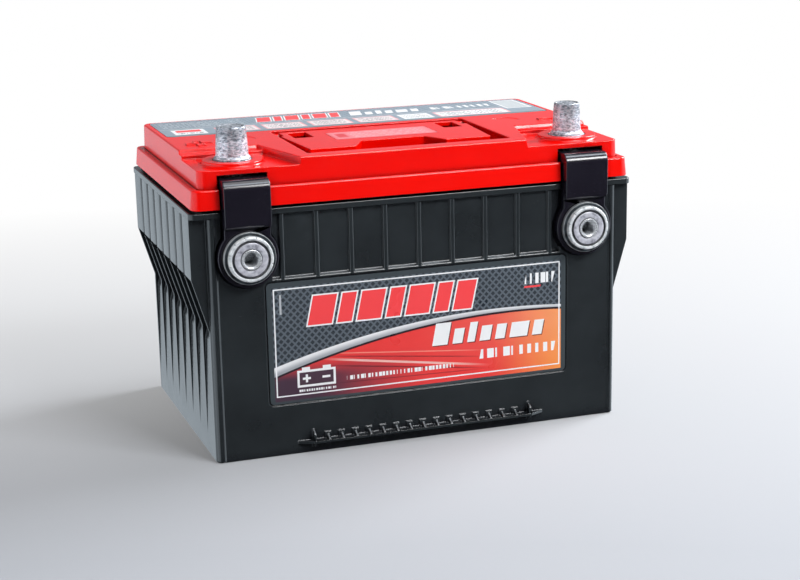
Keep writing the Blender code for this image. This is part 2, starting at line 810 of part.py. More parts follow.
def make_top_cover():
    length, width, draft = COVER_LENGTH, COVER_WIDTH, COVER_DRAFT
    skirt = [
        (centred_rectangle(length, width, COVER_CORNER), SKIRT_BOTTOM),
        (centred_rectangle(length - 2 * draft, width - 2 * draft, COVER_CORNER), SKIRT_TOP),
    ]
    tier = [
        (centred_rectangle(TIER_LENGTH, TIER_WIDTH, COVER_CORNER), SKIRT_TOP - 2.0),
        (centred_rectangle(TIER_LENGTH - draft, TIER_WIDTH - draft, COVER_CORNER), COVER_TOP),
    ]
    cover = solid("top_cover", lambda bm: add_loft(bm, skirt))
    join(cover, lambda bm: add_loft(bm, tier))
    step_back = POCKET_BACK_Y - POCKET_STEP_DEPTH
    for back, floor in ((POCKET_BACK_Y, POCKET_STEP), (step_back, SHELF)):
        for outline in (pocket_outline(back), mirrored(pocket_outline(back))):
            cut(cover, lambda bm: add_prism(bm, outline, floor, COVER_TOP + PAST))
    for side in (-1, 1):
        circle = circle_at((side * POST_X, POST_Y), BOSS_RADIUS, 24)
        join(cover, lambda bm: add_prism(bm, circle, SHELF - 1.0, BOSS_TOP))
    apply_tool(cover, "DIFFERENCE", make_cover_void())
    cut(cover, add_cover_openings)
    join(cover, add_hinge_cradles)
    cut(cover, add_trunnion_holes)
    cut(cover, add_strap_notches)
    join(cover, add_cover_marks)
    join(cover, add_vent_sockets)
    cut(cover, add_vent_bores)
    bed = rounded_rectangle(
        -LABEL_TOP_HALF - GAP, LABEL_TOP_HALF + GAP,
        LABEL_TOP_FRONT - GAP, LABEL_TOP_BACK + GAP, 4.0)
    cut(cover, lambda bm: add_prism(bm, bed, COVER_TOP - LABEL_DEPTH, COVER_TOP + PAST))
    return finish(cover, "red_plastic")


def make_flame_arrestor(side):
    """A porous disc pressed into the socket behind a vent port."""
    name = ("left" if side < 0 else "right") + "_flame_arrestor"
    inside = TIER_WIDTH / 2 - COVER_WALL - GAP
    circle = circle_at((side * VENT_X, VENT_Z), VENT_BORE - GAP, 12)
    disc = solid(name, lambda bm: add_prism(bm, circle, inside - 3.0, inside, "Y"))
    return finish(disc, "porous_plastic", round_shape=True)


# ---------------------------------------------------------------- lifting handle

def notch_outline(grow):
    """The finger notch in the handle's front edge, made larger by grow."""
    head = HANDLE_FRONT + NOTCH_DEPTH + grow
    return [
        (NOTCH_HEAD + grow, head), (-NOTCH_HEAD - grow, head),
        (-NOTCH_FOOT - grow, HANDLE_FRONT), (NOTCH_FOOT + grow, HANDLE_FRONT),
    ]


def handle_plan():
    """The handle seen from above, wider at its hinge than at its front edge."""
    back = HINGE_Y + BARREL_RADIUS + PAST
    right = [
        (NOTCH_HEAD, HANDLE_FRONT + NOTCH_DEPTH), (NOTCH_FOOT, HANDLE_FRONT),
        (HANDLE_FRONT_HALF, HANDLE_FRONT), (HANDLE_BACK_HALF, HINGE_Y), (HANDLE_BACK_HALF, back),
    ]
    return right + mirrored(right)


def add_handle_ribs(bm):
    under = HANDLE_TOP - HANDLE_THICKNESS
    half = HANDLE_RIB_WIDTH / 2
    y = (HANDLE_FRONT + NOTCH_DEPTH + NOTCH_WALL + 1.0, HINGE_Y - BARREL_RADIUS - 2.0)
    for x in HANDLE_RIBS:
        for centre in (-x, x):
            add_box(bm, (centre - half, centre + half), y, (HANDLE_RIB_BOTTOM, under + 0.5))


def add_windows(bm):
    y = (WINDOW_FRONT, HINGE_Y + BARREL_RADIUS + PAST)
    z = (HINGE_Z - PAST, HANDLE_TOP + PAST)
    for x in ((WINDOW_INNER, WINDOW_OUTER), (-WINDOW_OUTER, -WINDOW_INNER)):
        add_box(bm, x, y, z)


def add_hinge_pins(bm):
    """Pins that cross the windows and end as trunnions in the well's side walls."""
    circle = circle_at((HINGE_Y, HINGE_Z), TRUNNION_RADIUS, 12)
    reach = WELL_HALF + TRUNNION_REACH
    for x in ((WINDOW_INNER - 1.0, reach), (-reach, 1.0 - WINDOW_INNER)):
        add_prism(bm, circle, x[0], x[1], "X")


def make_lifting_handle():
    """A flap with a barrel along its rear edge; its origin is on the hinge axis."""
    under = HANDLE_TOP - HANDLE_THICKNESS
    drop = math.degrees(math.asin((HINGE_Z - under) / BARREL_RADIUS))
    side_view = [(HANDLE_FRONT - 1.0, HANDLE_TOP)]
    side_view += arc((HINGE_Y, HINGE_Z), BARREL_RADIUS, 90, -180 + drop, 10)
    side_view += [(HANDLE_FRONT - 1.0, under)]
    half = HANDLE_BACK_HALF + 1.0
    handle = solid("lifting_handle", lambda bm: add_prism(bm, side_view, -half, half, "X"))
    join(handle, lambda bm: add_prism(bm, notch_outline(NOTCH_WALL), NOTCH_WALL_BOTTOM, under + 0.5))
    join(handle, add_handle_ribs)
    combine(handle, "INTERSECT", lambda bm: add_prism(
        bm, handle_plan(), NOTCH_WALL_BOTTOM - PAST, HANDLE_TOP + PAST))
    cut(handle, add_windows)
    join(handle, add_hinge_pins)
    bed = rounded_rectangle(
        -HANDLE_LABEL_HALF - GAP, HANDLE_LABEL_HALF + GAP,
        HANDLE_LABEL_FRONT - GAP, HANDLE_LABEL_BACK + GAP, 1.0)
    cut(handle, lambda bm: add_prism(bm, bed, HANDLE_TOP - LABEL_DEPTH, HANDLE_TOP + PAST))
    return finish(handle, "red_plastic", origin=(0.0, HINGE_Y, HINGE_Z))


# ---------------------------------------------------------------- labels

def make_labels():
    film = LABEL_DEPTH - GAP
    front = rounded_rectangle(
        -LABEL_HALF, LABEL_HALF, LABEL_LOW, LABEL_HIGH, LABEL_BED_CORNER - 1.0)
    face = FRONT + LABEL_BED_DEPTH - GAP
    finish(solid("front_label", lambda bm: add_prism(bm, front, face - film, face, "Y")), "film")
    top = rounded_rectangle(-LABEL_TOP_HALF, LABEL_TOP_HALF, LABEL_TOP_FRONT, LABEL_TOP_BACK, 4.0)
    finish(solid("top_label", lambda bm: add_prism(
        bm, top, COVER_TOP - film, COVER_TOP)), "film")
    small = rounded_rectangle(
        -HANDLE_LABEL_HALF, HANDLE_LABEL_HALF, HANDLE_LABEL_FRONT, HANDLE_LABEL_BACK, 1.0)
    finish(solid("handle_label", lambda bm: add_prism(
        bm, small, HANDLE_TOP - film, HANDLE_TOP)), "film")


# ---------------------------------------------------------------- terminals

def side_of(polarity):
    return -1 if polarity == "positive" else 1


def make_post_bushing(polarity):
    """A lead bushing: a shank in the lid's tower and a tapered post above the cover."""
    base, top = POST_RADII[polarity]
    collar = BOSS_TOP + 1.4
    profile = [
        (BUSHING_BORE, LID_BOTTOM + GAP), (BUSHING_RADIUS, LID_BOTTOM + GAP),
        (BUSHING_RADIUS, collar), (base + 0.4, collar + 0.6), (base, collar + 1.2),
        (top, POST_TOP - 0.6), (top - 0.6, POST_TOP), (BUSHING_BORE, POST_TOP),
    ]
    centre = (side_of(polarity) * POST_X, POST_Y)
    bushing = solid(polarity + "_post_bushing", lambda bm: add_turned(
        bm, profile, POST_SEGMENTS, centre, ring=True))
    return finish(bushing, "lead", round_shape=True)


def make_post_pillar(polarity):
    profile = [
        (0, STRAP_TOP + GAP), (PILLAR_RADIUS, STRAP_TOP + GAP),
        (PILLAR_RADIUS, POST_TOP - 0.3), (0, POST_TOP - 0.3),
    ]
    centre = (side_of(polarity) * POST_X, POST_Y)
    pillar = solid(polarity + "_post_pillar", lambda bm: add_turned(
        bm, profile, POST_SEGMENTS, centre))
    return finish(pillar, "lead", round_shape=True)


def make_side_bar(polarity):
    """A lead bar from a ring round the bushing, forward and down to the side terminal."""
    side = side_of(polarity)
    low = BAR_TOP - BAR_THICKNESS
    half = BAR_WIDTH / 2
    x = sorted((side * (SIDE_X - half), side * (SIDE_X + half)))
    circle = circle_at((side * POST_X, POST_Y), BUSHING_RADIUS + 4.3, POST_SEGMENTS)
    side_view = [
        (POST_Y, low), (POST_Y, BAR_TOP), (BAR_FRONT + 2.0, BAR_TOP), (BAR_FRONT, BAR_TOP - 2.0),
        (BAR_FRONT, SIDE_Z - half), (BAR_FRONT + BAR_THICKNESS, SIDE_Z - half),
        (BAR_FRONT + BAR_THICKNESS, low),
    ]
    bar = solid(polarity + "_side_bar", lambda bm: add_prism(bm, side_view, x[0], x[1], "X"))
    join(bar, lambda bm: add_prism(bm, circle, low + 0.01, BAR_TOP - 0.01))
    hole = circle_at((side * POST_X, POST_Y), BUSHING_RADIUS + GAP, POST_SEGMENTS)
    cut(bar, lambda bm: add_prism(bm, hole, low - PAST, BAR_TOP + PAST))
    insert_hole = circle_at((side * SIDE_X, SIDE_Z), INSERT_RADIUS + GAP, 16)
    cut(bar, lambda bm: add_prism(bm, insert_hole, BAR_FRONT - PAST, BAR_FRONT + PAST, "Y"))
    return finish(bar, "lead")


def make_strap_cover(polarity):
    """A black channel that wraps the side bar, with a round cup round the side terminal."""
    side = side_of(polarity)
    x = sorted((side * STRAP_COVER_INNER, side * STRAP_COVER_OUTER))
    front, top, bend = STRAP_COVER_FRONT, STRAP_COVER_TOP, STRAP_COVER_BEND
    back = FRONT + 1.5
    plate = BAR_FRONT - 1.6
    side_view = [(STRAP_COVER_BACK, top)]
    side_view += arc((front + bend, top - bend), bend, 90, 180, 6)
    side_view += [
        (front, STRAP_COVER_FOOT), (front + 1.8, STRAP_COVER_FOOT - 2.6),
        (plate + 1.0, STRAP_COVER_FOOT - 2.6), (back, STRAP_COVER_FOOT + 5.0),
        (back, BAR_TOP - 5.0), (STRAP_COVER_BACK, BAR_TOP - 5.0),
    ]
    cover = solid(polarity + "_strap_cover", lambda bm: add_prism(bm, side_view, x[0], x[1], "X"))
    keyhole = terminal_recess_outline(-0.05, STRAP_CUP_RADIUS, BAR_TOP - 12.0)
    if side < 0:
        keyhole = mirrored(keyhole)
    join(cover, lambda bm: add_prism(bm, keyhole, plate, back + 0.01, "Y"))
    half = BAR_WIDTH / 2 + GAP
    channel = sorted((side * (SIDE_X - half), side * (SIDE_X + half)))
    cut(cover, lambda bm: add_box(
        bm, channel, (BAR_FRONT - GAP, POST_Y), (SIDE_Z - half, BAR_TOP + GAP)))
    stub = circle_at((side * SIDE_X, SIDE_Z), STUB_HOLE, 16)
    cut(cover, lambda bm: add_prism(bm, stub, plate - PAST, back + PAST, "Y"))
    return finish(cover, "black_plastic")


def make_side_terminal(polarity):
    """A stepped lead disc with a flange, a face groove and a bore for its insert."""
    bore = INSERT_RADIUS + GAP
    face = SIDE_FACE
    stub = STUB_HOLE - 0.6
    flange = BAR_FRONT - 1.6 - GAP
    flange_face = flange - FLANGE_THICKNESS
    profile = [
        (bore, BAR_FRONT - GAP), (stub, BAR_FRONT - GAP), (stub, flange), (FLANGE_RADIUS, flange),
        (FLANGE_RADIUS, flange_face + 0.5), (FLANGE_RADIUS - 0.5, flange_face),
        (DISC_RADIUS, flange_face), (DISC_RADIUS, face + 0.5), (DISC_RADIUS - 0.5, face),
        (GROOVE_OUTER, face), (GROOVE_OUTER, face + GROOVE_DEPTH),
        (GROOVE_INNER, face + GROOVE_DEPTH), (GROOVE_INNER, face), (bore, face),
    ]
    centre = (side_of(polarity) * SIDE_X, SIDE_Z)
    terminal = solid(polarity + "_side_terminal", lambda bm: add_turned(
        bm, profile, 20, centre, "Y", ring=True))
    return finish(terminal, "lead", round_shape=True)


def make_thread_insert(polarity):
    """A steel insert with a blind hole for the terminal bolt."""
    thread = THREAD_BORE
    back = FRONT + 1.3
    front = SIDE_FACE - 0.5
    profile = [
        (0, back), (INSERT_RADIUS, back), (INSERT_RADIUS, front), (thread + 0.7, front),
        (thread, front + 0.7), (thread, back - 1.4), (0, back - 1.4),
    ]
    centre = (side_of(polarity) * SIDE_X, SIDE_Z)
    insert = solid(polarity + "_thread_insert", lambda bm: add_turned(bm, profile, 16, centre, "Y"))
    return finish(insert, "steel", round_shape=True)


# ---------------------------------------------------------------- assembly

def main():
    for obj in list(bpy.data.objects):
        bpy.data.objects.remove(obj)
    make_case()
    make_inner_lid()
    make_top_cover()
    make_lifting_handle()
    make_labels()
    for index in range(CELLS):
        make_plate_group(index, "positive")
        make_plate_group(index, "negative")
        make_separator(index)
        make_relief_valve(index)
    for number, (x, y) in enumerate(weld_places(), start=1):
        make_cell_weld(number, x, y)
    for side in (-1, 1):
        make_flame_arrestor(side)
    for polarity in ("positive", "negative"):
        make_post_bushing(polarity)
        make_post_pillar(polarity)
        make_side_bar(polarity)
        make_strap_cover(polarity)
        make_side_terminal(polarity)
        make_thread_insert(polarity)


main()
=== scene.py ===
"""Looks of the dual-terminal deep cycle battery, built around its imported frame.

The moulded, cast and machined parts get finer meshes that take the place of their CAD nodes.
The parts inside, the films and the small fittings keep their CAD meshes and get materials.

Shapes are drawn in millimetres and become metres in put_in_frame().  X runs along the
battery, -Y is its front face, +Z is up.
"""
import json
import math

import bmesh
import bpy
from mathutils import Matrix, Vector, noise


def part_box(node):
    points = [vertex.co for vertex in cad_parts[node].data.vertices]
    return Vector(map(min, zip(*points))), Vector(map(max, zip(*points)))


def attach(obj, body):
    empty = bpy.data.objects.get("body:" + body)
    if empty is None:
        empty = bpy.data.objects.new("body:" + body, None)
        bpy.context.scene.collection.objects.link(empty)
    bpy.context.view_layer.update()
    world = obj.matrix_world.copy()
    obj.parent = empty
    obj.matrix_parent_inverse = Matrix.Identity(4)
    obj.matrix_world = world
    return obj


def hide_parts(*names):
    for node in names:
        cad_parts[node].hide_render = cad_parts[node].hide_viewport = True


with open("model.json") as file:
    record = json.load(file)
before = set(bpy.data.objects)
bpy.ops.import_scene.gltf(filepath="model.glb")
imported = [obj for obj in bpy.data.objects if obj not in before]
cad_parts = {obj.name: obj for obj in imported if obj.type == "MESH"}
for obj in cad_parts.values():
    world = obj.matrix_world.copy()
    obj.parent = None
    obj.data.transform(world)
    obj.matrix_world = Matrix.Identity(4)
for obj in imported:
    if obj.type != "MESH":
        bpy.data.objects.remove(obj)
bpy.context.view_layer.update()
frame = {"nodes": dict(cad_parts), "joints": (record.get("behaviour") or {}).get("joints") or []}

MM = 0.001
PAST = 5.0  # cutters run this far past the faces that they open
GAP = 0.3
SOFT_ANGLE = 35.0


def box_mm(node):
    """Lowest and highest corner of a CAD node, in millimetres."""
    low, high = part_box(node)
    return [value / MM for value in low], [value / MM for value in high]


# Case
CASE_HIGH = box_mm("case")[1]
LABEL_LOW, LABEL_HIGH = box_mm("front_label")
CASE_LENGTH = 260.0
CASE_TOP = CASE_HIGH[2]
CASE_CORNER = 4.0
FRONT = -84.5
CASE_WIDTH = -2 * FRONT
RIM_LENGTH = CASE_HIGH[0] * 2
RIM_WIDTH = 171.0
RIM_BOTTOM = 148.9
FLOOR = 3.0
END_INNER = 123.5
SIDE_INNER = 79.0
PARTITION = 2.0
PARTITION_TOP = 150.3
CELLS = 6
CELL_WIDTH = (2 * END_INNER - (CELLS - 1) * PARTITION) / CELLS
CELL_PITCH = CELL_WIDTH + PARTITION
WELD_Y = 58.0
WELD_Z = 145.3
WELD_HOLE = 3.6

FLARE_X = 139.5
FLARE_HALF_WIDTH = 80.9
APRON_BOTTOM = 112.6
APRON_THICKNESS = 2.7
FIN_FOOT = 80.3
FIN_PITCH = 20.0
FIN_COUNT = 9
FIN_THICKNESS = 1.8
CHANNEL_DEPTH = 3.7
CHANNEL_TOP = 145.0
CHANNEL_END = 4.3
CHANNEL_KNEE = (1.5, 73.0)
PAD_EDGE = 3.2
PAD_DROP = 0.5
GROOVE_HALF = 0.8
GROOVE_DROP = 1.3

RIB_COUNT = 9
RIB_PITCH = 21.35
RIB_WIDTH = 3.0
PANEL_BOTTOM = 109.5
PANEL_SLOPE = 1.2
PANEL_TOP = RIM_BOTTOM + 0.5
PANEL_DEPTH = 1.8
PART_PANEL = 5.0
LABEL_BED_MARGIN = 1.0
LABEL_BED_DEPTH = 0.9
LABEL_BED_CORNER = 3.5
LEDGE_REACH = 5.0
LEDGE_TOP = 8.2
LEDGE_BOTTOM = 6.4
LEDGE_FIN_PITCH = 8.75
LEDGE_FINS = 15
LEDGE_FIN_THICKNESS = 1.4
LEDGE_END_FIN = 70.3
LEDGE_TIP = 80.0
BEAD_X = 126.5
BEAD_RADIUS = 3.0
BEAD_RISE = 0.8
RECESS_DEPTH = 3.0
RECESS_RADIUS = 19.2
CASE_EDGE = 1.0
# Shares of CASE_EDGE that are used at the places named
LEDGE_SHARE = 0.3
RIB_SHARE = 1.0
PAD_SHARE = 0.24
PLAIN_SHARE = 0.4
LEDGE_ZONE_TOP = 16.0
FIN_HEAD_HALF_WIDTH = 2.0
FIN_HEAD_RISE = 1.0
FIN_HEAD_TOP = 12.1

# Top cover
COVER_LOW, COVER_HIGH = box_mm("top_cover")
COVER_LENGTH = COVER_HIGH[0] * 2
COVER_WIDTH = COVER_HIGH[1] * 2
SKIRT_BOTTOM = COVER_LOW[2]
SKIRT_TOP = 165.8
TIER_LENGTH = 265.8
TIER_WIDTH = 163.4
SHELF = 176.3
COVER_TOP = 180.9
COVER_DRAFT = 1.0
COVER_CORNER = 6.0
COVER_WALL = 3.0
COVER_ROUND = 1.2
COVER_EDGE = 0.5
FOOT_GROOVE_WIDTH = 0.7
FOOT_GROOVE_DEPTH = 0.5
LID_TOP = 156.4
POCKET_FRONT_X = 71.0
POCKET_BACK_X = 84.0
POCKET_BACK_Y = -30.0
POCKET_STEP = 178.6
POCKET_STEP_DEPTH = 7.0
POCKET_SLOPE = 0.9
BOSS_RADIUS = 18.0
BOSS_TOP = 178.8
WELL_HALF = 64.3
WELL_FRONT = -72.0
WELL_BACK = 14.6
WELL_WALL = 2.7
VENT_X = 118.0
VENT_Z = 171.0
VENT_BORE = 5.8
VENT_PORT = 2.0
VENT_SOCKET = 7.6
VENT_SOCKET_LENGTH = 7.0
MARK_X = 115.8
MARK_Y = -14.0
MARK_REACH = 8.5
MARK_HALF = 2.7
MARK_RIM = 1.2
MARK_RISE = 0.8
TOP_LABEL_LOW, TOP_LABEL_HIGH = box_mm("top_label")
TOP_LABEL_CORNER = 4.0
LABEL_BED = 0.7
MOULD_MARK = (88.0, -5.0)
MOULD_MARK_RADIUS = 9.0

# Terminals
POST_LOW, POST_HIGH = box_mm("positive_post_bushing")
POST_X = -(POST_LOW[0] + POST_HIGH[0]) / 2
POST_Y = (POST_LOW[1] + POST_HIGH[1]) / 2
POST_TOP = POST_HIGH[2]
POST_FOOT = POST_LOW[2]
POLARITIES = ("positive", "negative")
POST_RADII = {"positive": (9.75, 8.75), "negative": (8.95, 7.95)}  # at the foot and the top
BUSHING_RADIUS = 11.2
BUSHING_BORE = 6.5
POST_STEPS = 26
POST_SEEDS = {"positive": 3.7, "negative": 11.2}
CAST_BROAD = 0.08
CAST_FINE = 0.05
CAST_RINGS = 0.05
COLLAR_RAGGED = 3.5
BAR_WIDTH = 18.0
BAR_TOP = 169.0
BAR_FRONT = -87.3
SIDE_LOW, SIDE_HIGH = box_mm("positive_side_terminal")
SIDE_X = -(SIDE_LOW[0] + SIDE_HIGH[0]) / 2
SIDE_Z = (SIDE_LOW[2] + SIDE_HIGH[2]) / 2
SIDE_FACE = SIDE_LOW[1]
INSERT_RADIUS = 6.1
STUB_HOLE = 11.4
STRAP_INNER = 92.8
STRAP_OUTER = 120.6
STRAP_FRONT = -92.6
STRAP_TOP = 171.3
STRAP_BEND = 5.8
STRAP_FOOT = 145.8
STRAP_BACK = -77.5
STRAP_CUP_RADIUS = 18.2
STRAP_CLEARANCE = 0.9
STRAP_EDGE = 0.6
STRAP_PLATE = BAR_FRONT - 1.6
FLANGE_RADIUS = 15.6
FLANGE_THICKNESS = 3.1
RING_NOTCHES = 12
NOTCH_CUT = 0.7
NOTCH_SHARE = 0.05  # half of a notch's width, as a share of the notches' pitch
NOTCH_FLANK = 1.6
DISC_RADIUS = 13.4
GROOVE_INNER = 10.0
GROOVE_OUTER = 11.5
GROOVE_DEPTH = 2.0
THREAD_BORE = 4.2
THREAD_DEPTH = 0.55
THREAD_PITCH = 1.5875
THREAD_ROWS = 8

# Lifting handle
HINGE = [value / MM for value in frame["joints"][0]["pos_m"]]
HINGE_Y, HINGE_Z = HINGE[1], HINGE[2]
BARREL_RADIUS = 2.8
HANDLE_THICKNESS = 3.0
HANDLE_TOP = HINGE_Z + BARREL_RADIUS
HANDLE_FRONT = -55.0
HANDLE_FRONT_HALF = 57.8
HANDLE_BACK_HALF = 62.8
TRUNNION_RADIUS = 2.2
TRUNNION_REACH = 2.0
NOTCH_FOOT = 29.0
NOTCH_HEAD = 20.5
NOTCH_DEPTH = 17.0
NOTCH_WALL = 2.5
NOTCH_WALL_BOTTOM = 173.8
WINDOW_INNER = 43.2
WINDOW_OUTER = 55.2
WINDOW_FRONT = -12.8
CORNER_NOTCH = 59.6
CORNER_NOTCH_FRONT = -2.5
HANDLE_RIBS = (12.0, 34.0)
HANDLE_RIB_WIDTH = 1.6
HANDLE_RIB_BOTTOM = 174.6
CRADLE_WIDTH = 2.4
HANDLE_LABEL_LOW, HANDLE_LABEL_HIGH = box_mm("handle_label")
HANDLE_LABEL_CORNER = 1.0
HANDLE_EDGE = 0.45


# ---------------------------------------------------------------- drawing helpers

def arc(centre, radius, start, end, steps):
    """Points on an arc, from start to end in degrees, ends included."""
    points = []
    for step in range(steps + 1):
        angle = math.radians(start + (end - start) * step / steps)
        points.append((centre[0] + radius * math.cos(angle), centre[1] + radius * math.sin(angle)))
    return points


def circle_at(centre, radius, segments=48):
    """A circle's points, each once."""
    return arc(centre, radius, 0, 360 - 360 / segments, segments - 1)


def rounded_rectangle(x_low, x_high, y_low, y_high, radius, steps=8):
    """Outline of a rectangle with round corners, anticlockwise."""
    corners = (
        (x_high - radius, y_low + radius, -90),
        (x_high - radius, y_high - radius, 0),
        (x_low + radius, y_high - radius, 90),
        (x_low + radius, y_low + radius, 180),
    )
    points = []
    for x, y, start in corners:
        points += arc((x, y), radius, start, start + 90, steps)
    return points


def centred_rectangle(length, width, radius):
    return rounded_rectangle(-length / 2, length / 2, -width / 2, width / 2, radius)


def rectangle(x_low, x_high, y_low, y_high):
    return [(x_low, y_low), (x_high, y_low), (x_high, y_high), (x_low, y_high)]


def mirrored(outline):
    """The outline on the other side of X = 0."""
    return [(-x, y) for x, y in reversed(outline)]


def both_sides(outline):
    """The outline and its mirror image."""
    return outline, mirrored(outline)


def bed_outline(low, high, up_axis, margin, radius):
    """Outline of the recess that a label lies in, from the corners of the label's box."""
    return rounded_rectangle(
        low[0] - margin, high[0] + margin, low[up_axis] - margin, high[up_axis] + margin, radius)


def place(axis, a, b, height):
    """A point of an outline (a, b) at a height along the extrusion axis."""
    if axis == "X":
        return (height, a, b)
    if axis == "Y":
        return (a, height, b)
    return (a, b, height)


def add_loft(bm, sections, axis="Z"):
    """A closed body through outlines of equal point counts, given as (outline, height)."""
    rings = []
    for outline, height in sections:
        rings.append([bm.verts.new(place(axis, a, b, height)) for a, b in outline])
    count = len(rings[0])
    for lower, upper in zip(rings, rings[1:]):
        for i in range(count):
            j = (i + 1) % count
            bm.faces.new((lower[i], lower[j], upper[j], upper[i]))
    bm.faces.new(rings[0])
    bm.faces.new(rings[-1])


def add_prism(bm, outline, low, high, axis="Z"):
    add_loft(bm, [(outline, low), (outline, high)], axis)


def add_box(bm, x, y, z):
    """A box from three (low, high) pairs."""
    add_prism(bm, rectangle(x[0], x[1], y[0], y[1]), z[0], z[1])


def add_box_pair(bm, x_low, x_high, y, z):
    """A box right of X = 0 and its mirror image."""
    for x in ((x_low, x_high), (-x_high, -x_low)):
        add_box(bm, x, y, z)


def add_round_pair(bm, x, other, radius, low, high, axis="Z", segments=48):
    """Round bars at x and at -x, with other as their second coordinate."""
    for side in (-1, 1):
        add_prism(bm, circle_at((side * x, other), radius, segments), low, high, axis)


def wall_profile(bottom, top, low_round, high_round, steps=5):
    """(inset, height) points up a wall with rounded edges; bottom and top are its sharp ends."""
    points = []
    for step in range(steps + 1):
        angle = math.radians(90 * step / steps)
        inset = low_round * (1 - math.sin(angle))
        points.append((bottom[0] + inset, bottom[1] + low_round * (1 - math.cos(angle))))
    for step in range(steps + 1):
        angle = math.radians(90 * step / steps)
        inset = high_round * (1 - math.cos(angle))
        points.append((top[0] + inset, top[1] - high_round * (1 - math.sin(angle))))
    return points


def add_rounded_block(bm, length, width, corner, profile):
    """A rounded rectangle swept up an (inset, height) profile."""
    sections = []
    for inset, height in profile:
        outline = centred_rectangle(length - 2 * inset, width - 2 * inset, max(corner - inset, 0.3))
        sections.append((outline, height))
    add_loft(bm, sections)


def add_turned(bm, profile, segments, centre=(0.0, 0.0), axis="Z", ring=False, shape=None):
    """A turned body from (radius, height) points; shape(radius, height, angle) may vary it."""
    rings = []
    for radius, height in profile:
        if radius == 0:
            rings.append([bm.verts.new(place(axis, centre[0], centre[1], height))])
            continue
        circle = []
        for i in range(segments):
            angle = 2 * math.pi * i / segments
            r = shape(radius, height, angle) if shape else radius
            a = centre[0] + r * math.cos(angle)
            b = centre[1] + r * math.sin(angle)
            circle.append(bm.verts.new(place(axis, a, b, height)))
        rings.append(circle)
    pairs = list(zip(rings, rings[1:]))
    if ring:
        pairs.append((rings[-1], rings[0]))
    for lower, upper in pairs:
        for i in range(segments):
            j = (i + 1) % segments
            corners = [lower[i % len(lower)], lower[j % len(lower)]]
            corners += [upper[j % len(upper)], upper[i % len(upper)]]
            bm.faces.new(list(dict.fromkeys(corners)))


def solid(name, draw):
    """An object whose mesh is made by draw(bm), with its faces pointing out."""
    bm = bmesh.new()
    draw(bm)
    bmesh.ops.recalc_face_normals(bm, faces=bm.faces[:])
    mesh = bpy.data.meshes.new(name)
    bm.to_mesh(mesh)
    bm.free()
    obj = bpy.data.objects.new(name, mesh)
    bpy.context.scene.collection.objects.link(obj)
    return obj


def bake(obj):
    """Replace the mesh by what its modifiers make of it."""
    graph = bpy.context.evaluated_depsgraph_get()
    result = bpy.data.meshes.new_from_object(obj.evaluated_get(graph))
    spent = obj.data
    obj.modifiers.clear()
    obj.data = result
    bpy.data.meshes.remove(spent)
    return obj


def apply_tool(target, operation, tool):
    """Join, cut or keep target with a tool object, which is used up."""
    modifier = target.modifiers.new("combine", "BOOLEAN")
    modifier.operation = operation
    modifier.solver = "EXACT"
    modifier.object = tool
    bake(target)
    spent = tool.data
    bpy.data.objects.remove(tool)
    bpy.data.meshes.remove(spent)


def combine(target, operation, draw):
    """Join, cut or keep target with the solid that draw(bm) makes."""
    apply_tool(target, operation, solid("tool", draw))


def cut(target, draw):
    combine(target, "DIFFERENCE", draw)


def join(target, draw):
    combine(target, "UNION", draw)


def everywhere(x, y, z):
    return 1.0


def soften(obj, width, share=everywhere, segments=2):
    """Round the edges sharper than SOFT_ANGLE; share(x, y, z) of the width is used at a place."""
    bm = bmesh.new()
    bm.from_mesh(obj.data)
    bmesh.ops.remove_doubles(bm, verts=bm.verts, dist=0.003)
    bmesh.ops.dissolve_limit(
        bm, angle_limit=math.radians(0.4), verts=bm.verts, edges=bm.edges)
    weights = bm.edges.layers.float.new("bevel_weight_edge")
    for edge in bm.edges:
        if edge.is_manifold and edge.calc_face_angle() > math.radians(SOFT_ANGLE):
            middle = (edge.verts[0].co + edge.verts[1].co) / 2
            edge[weights] = share(*middle)
    bm.to_mesh(obj.data)
    bm.free()
    modifier = obj.modifiers.new("soften", "BEVEL")
    modifier.width = width
    modifier.segments = segments
    modifier.limit_method = "WEIGHT"
    modifier.use_clamp_overlap = False
    return bake(obj)


def shade(obj):
    """Smooth shading over rounded edges, with flat faces kept flat."""
    obj.data.shade_smooth()
    obj.data.set_sharp_from_angle(angle=math.radians(50))
    modifier = obj.modifiers.new("normals", "WEIGHTED_NORMAL")
    modifier.keep_sharp = True


def put_in_frame(obj, body, slot_name, material, *nodes):
    """Turn millimetres into metres, ride on a body and stand for these CAD nodes."""
    obj.data.transform(Matrix.Scale(MM, 4))
    obj.data.materials.clear()
    obj.data.materials.append(material)
    shade(obj)
    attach(obj, body)
    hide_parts(*nodes)
    return obj


def cell_centre(index):
    return -END_INNER + CELL_WIDTH / 2 + index * CELL_PITCH


# ---------------------------------------------------------------- case

def fin_lines():
    return [(i - (FIN_COUNT - 1) / 2) * FIN_PITCH for i in range(FIN_COUNT)]


def flare_outline():
    """Cross-section of a flared end, in X and Z."""
    half = CASE_LENGTH / 2
    slope = (FLARE_X - half) / (APRON_BOTTOM - FIN_FOOT)
    depth = 2.0
    return [
        (half - depth, FIN_FOOT - depth / slope),
        (FLARE_X, APRON_BOTTOM),
        (FLARE_X, RIM_BOTTOM + 1.0),
        (half - depth, RIM_BOTTOM + 1.0),
    ]


def channel_outline():
    """The hollow under the apron and the tapering channel that runs down from it."""
    half = CASE_LENGTH / 2
    clear = FLARE_X + PAST
    return [
        (half + 0.2, CHANNEL_END),
        (clear, CHANNEL_END),
        (clear, APRON_BOTTOM),
        (FLARE_X - APRON_THICKNESS, APRON_BOTTOM),
        (FLARE_X - APRON_THICKNESS, CHANNEL_TOP),
        (half - CHANNEL_DEPTH, CHANNEL_TOP),
        (half - CHANNEL_DEPTH, FIN_FOOT),
        (half - CHANNEL_KNEE[0], CHANNEL_KNEE[1]),
    ]


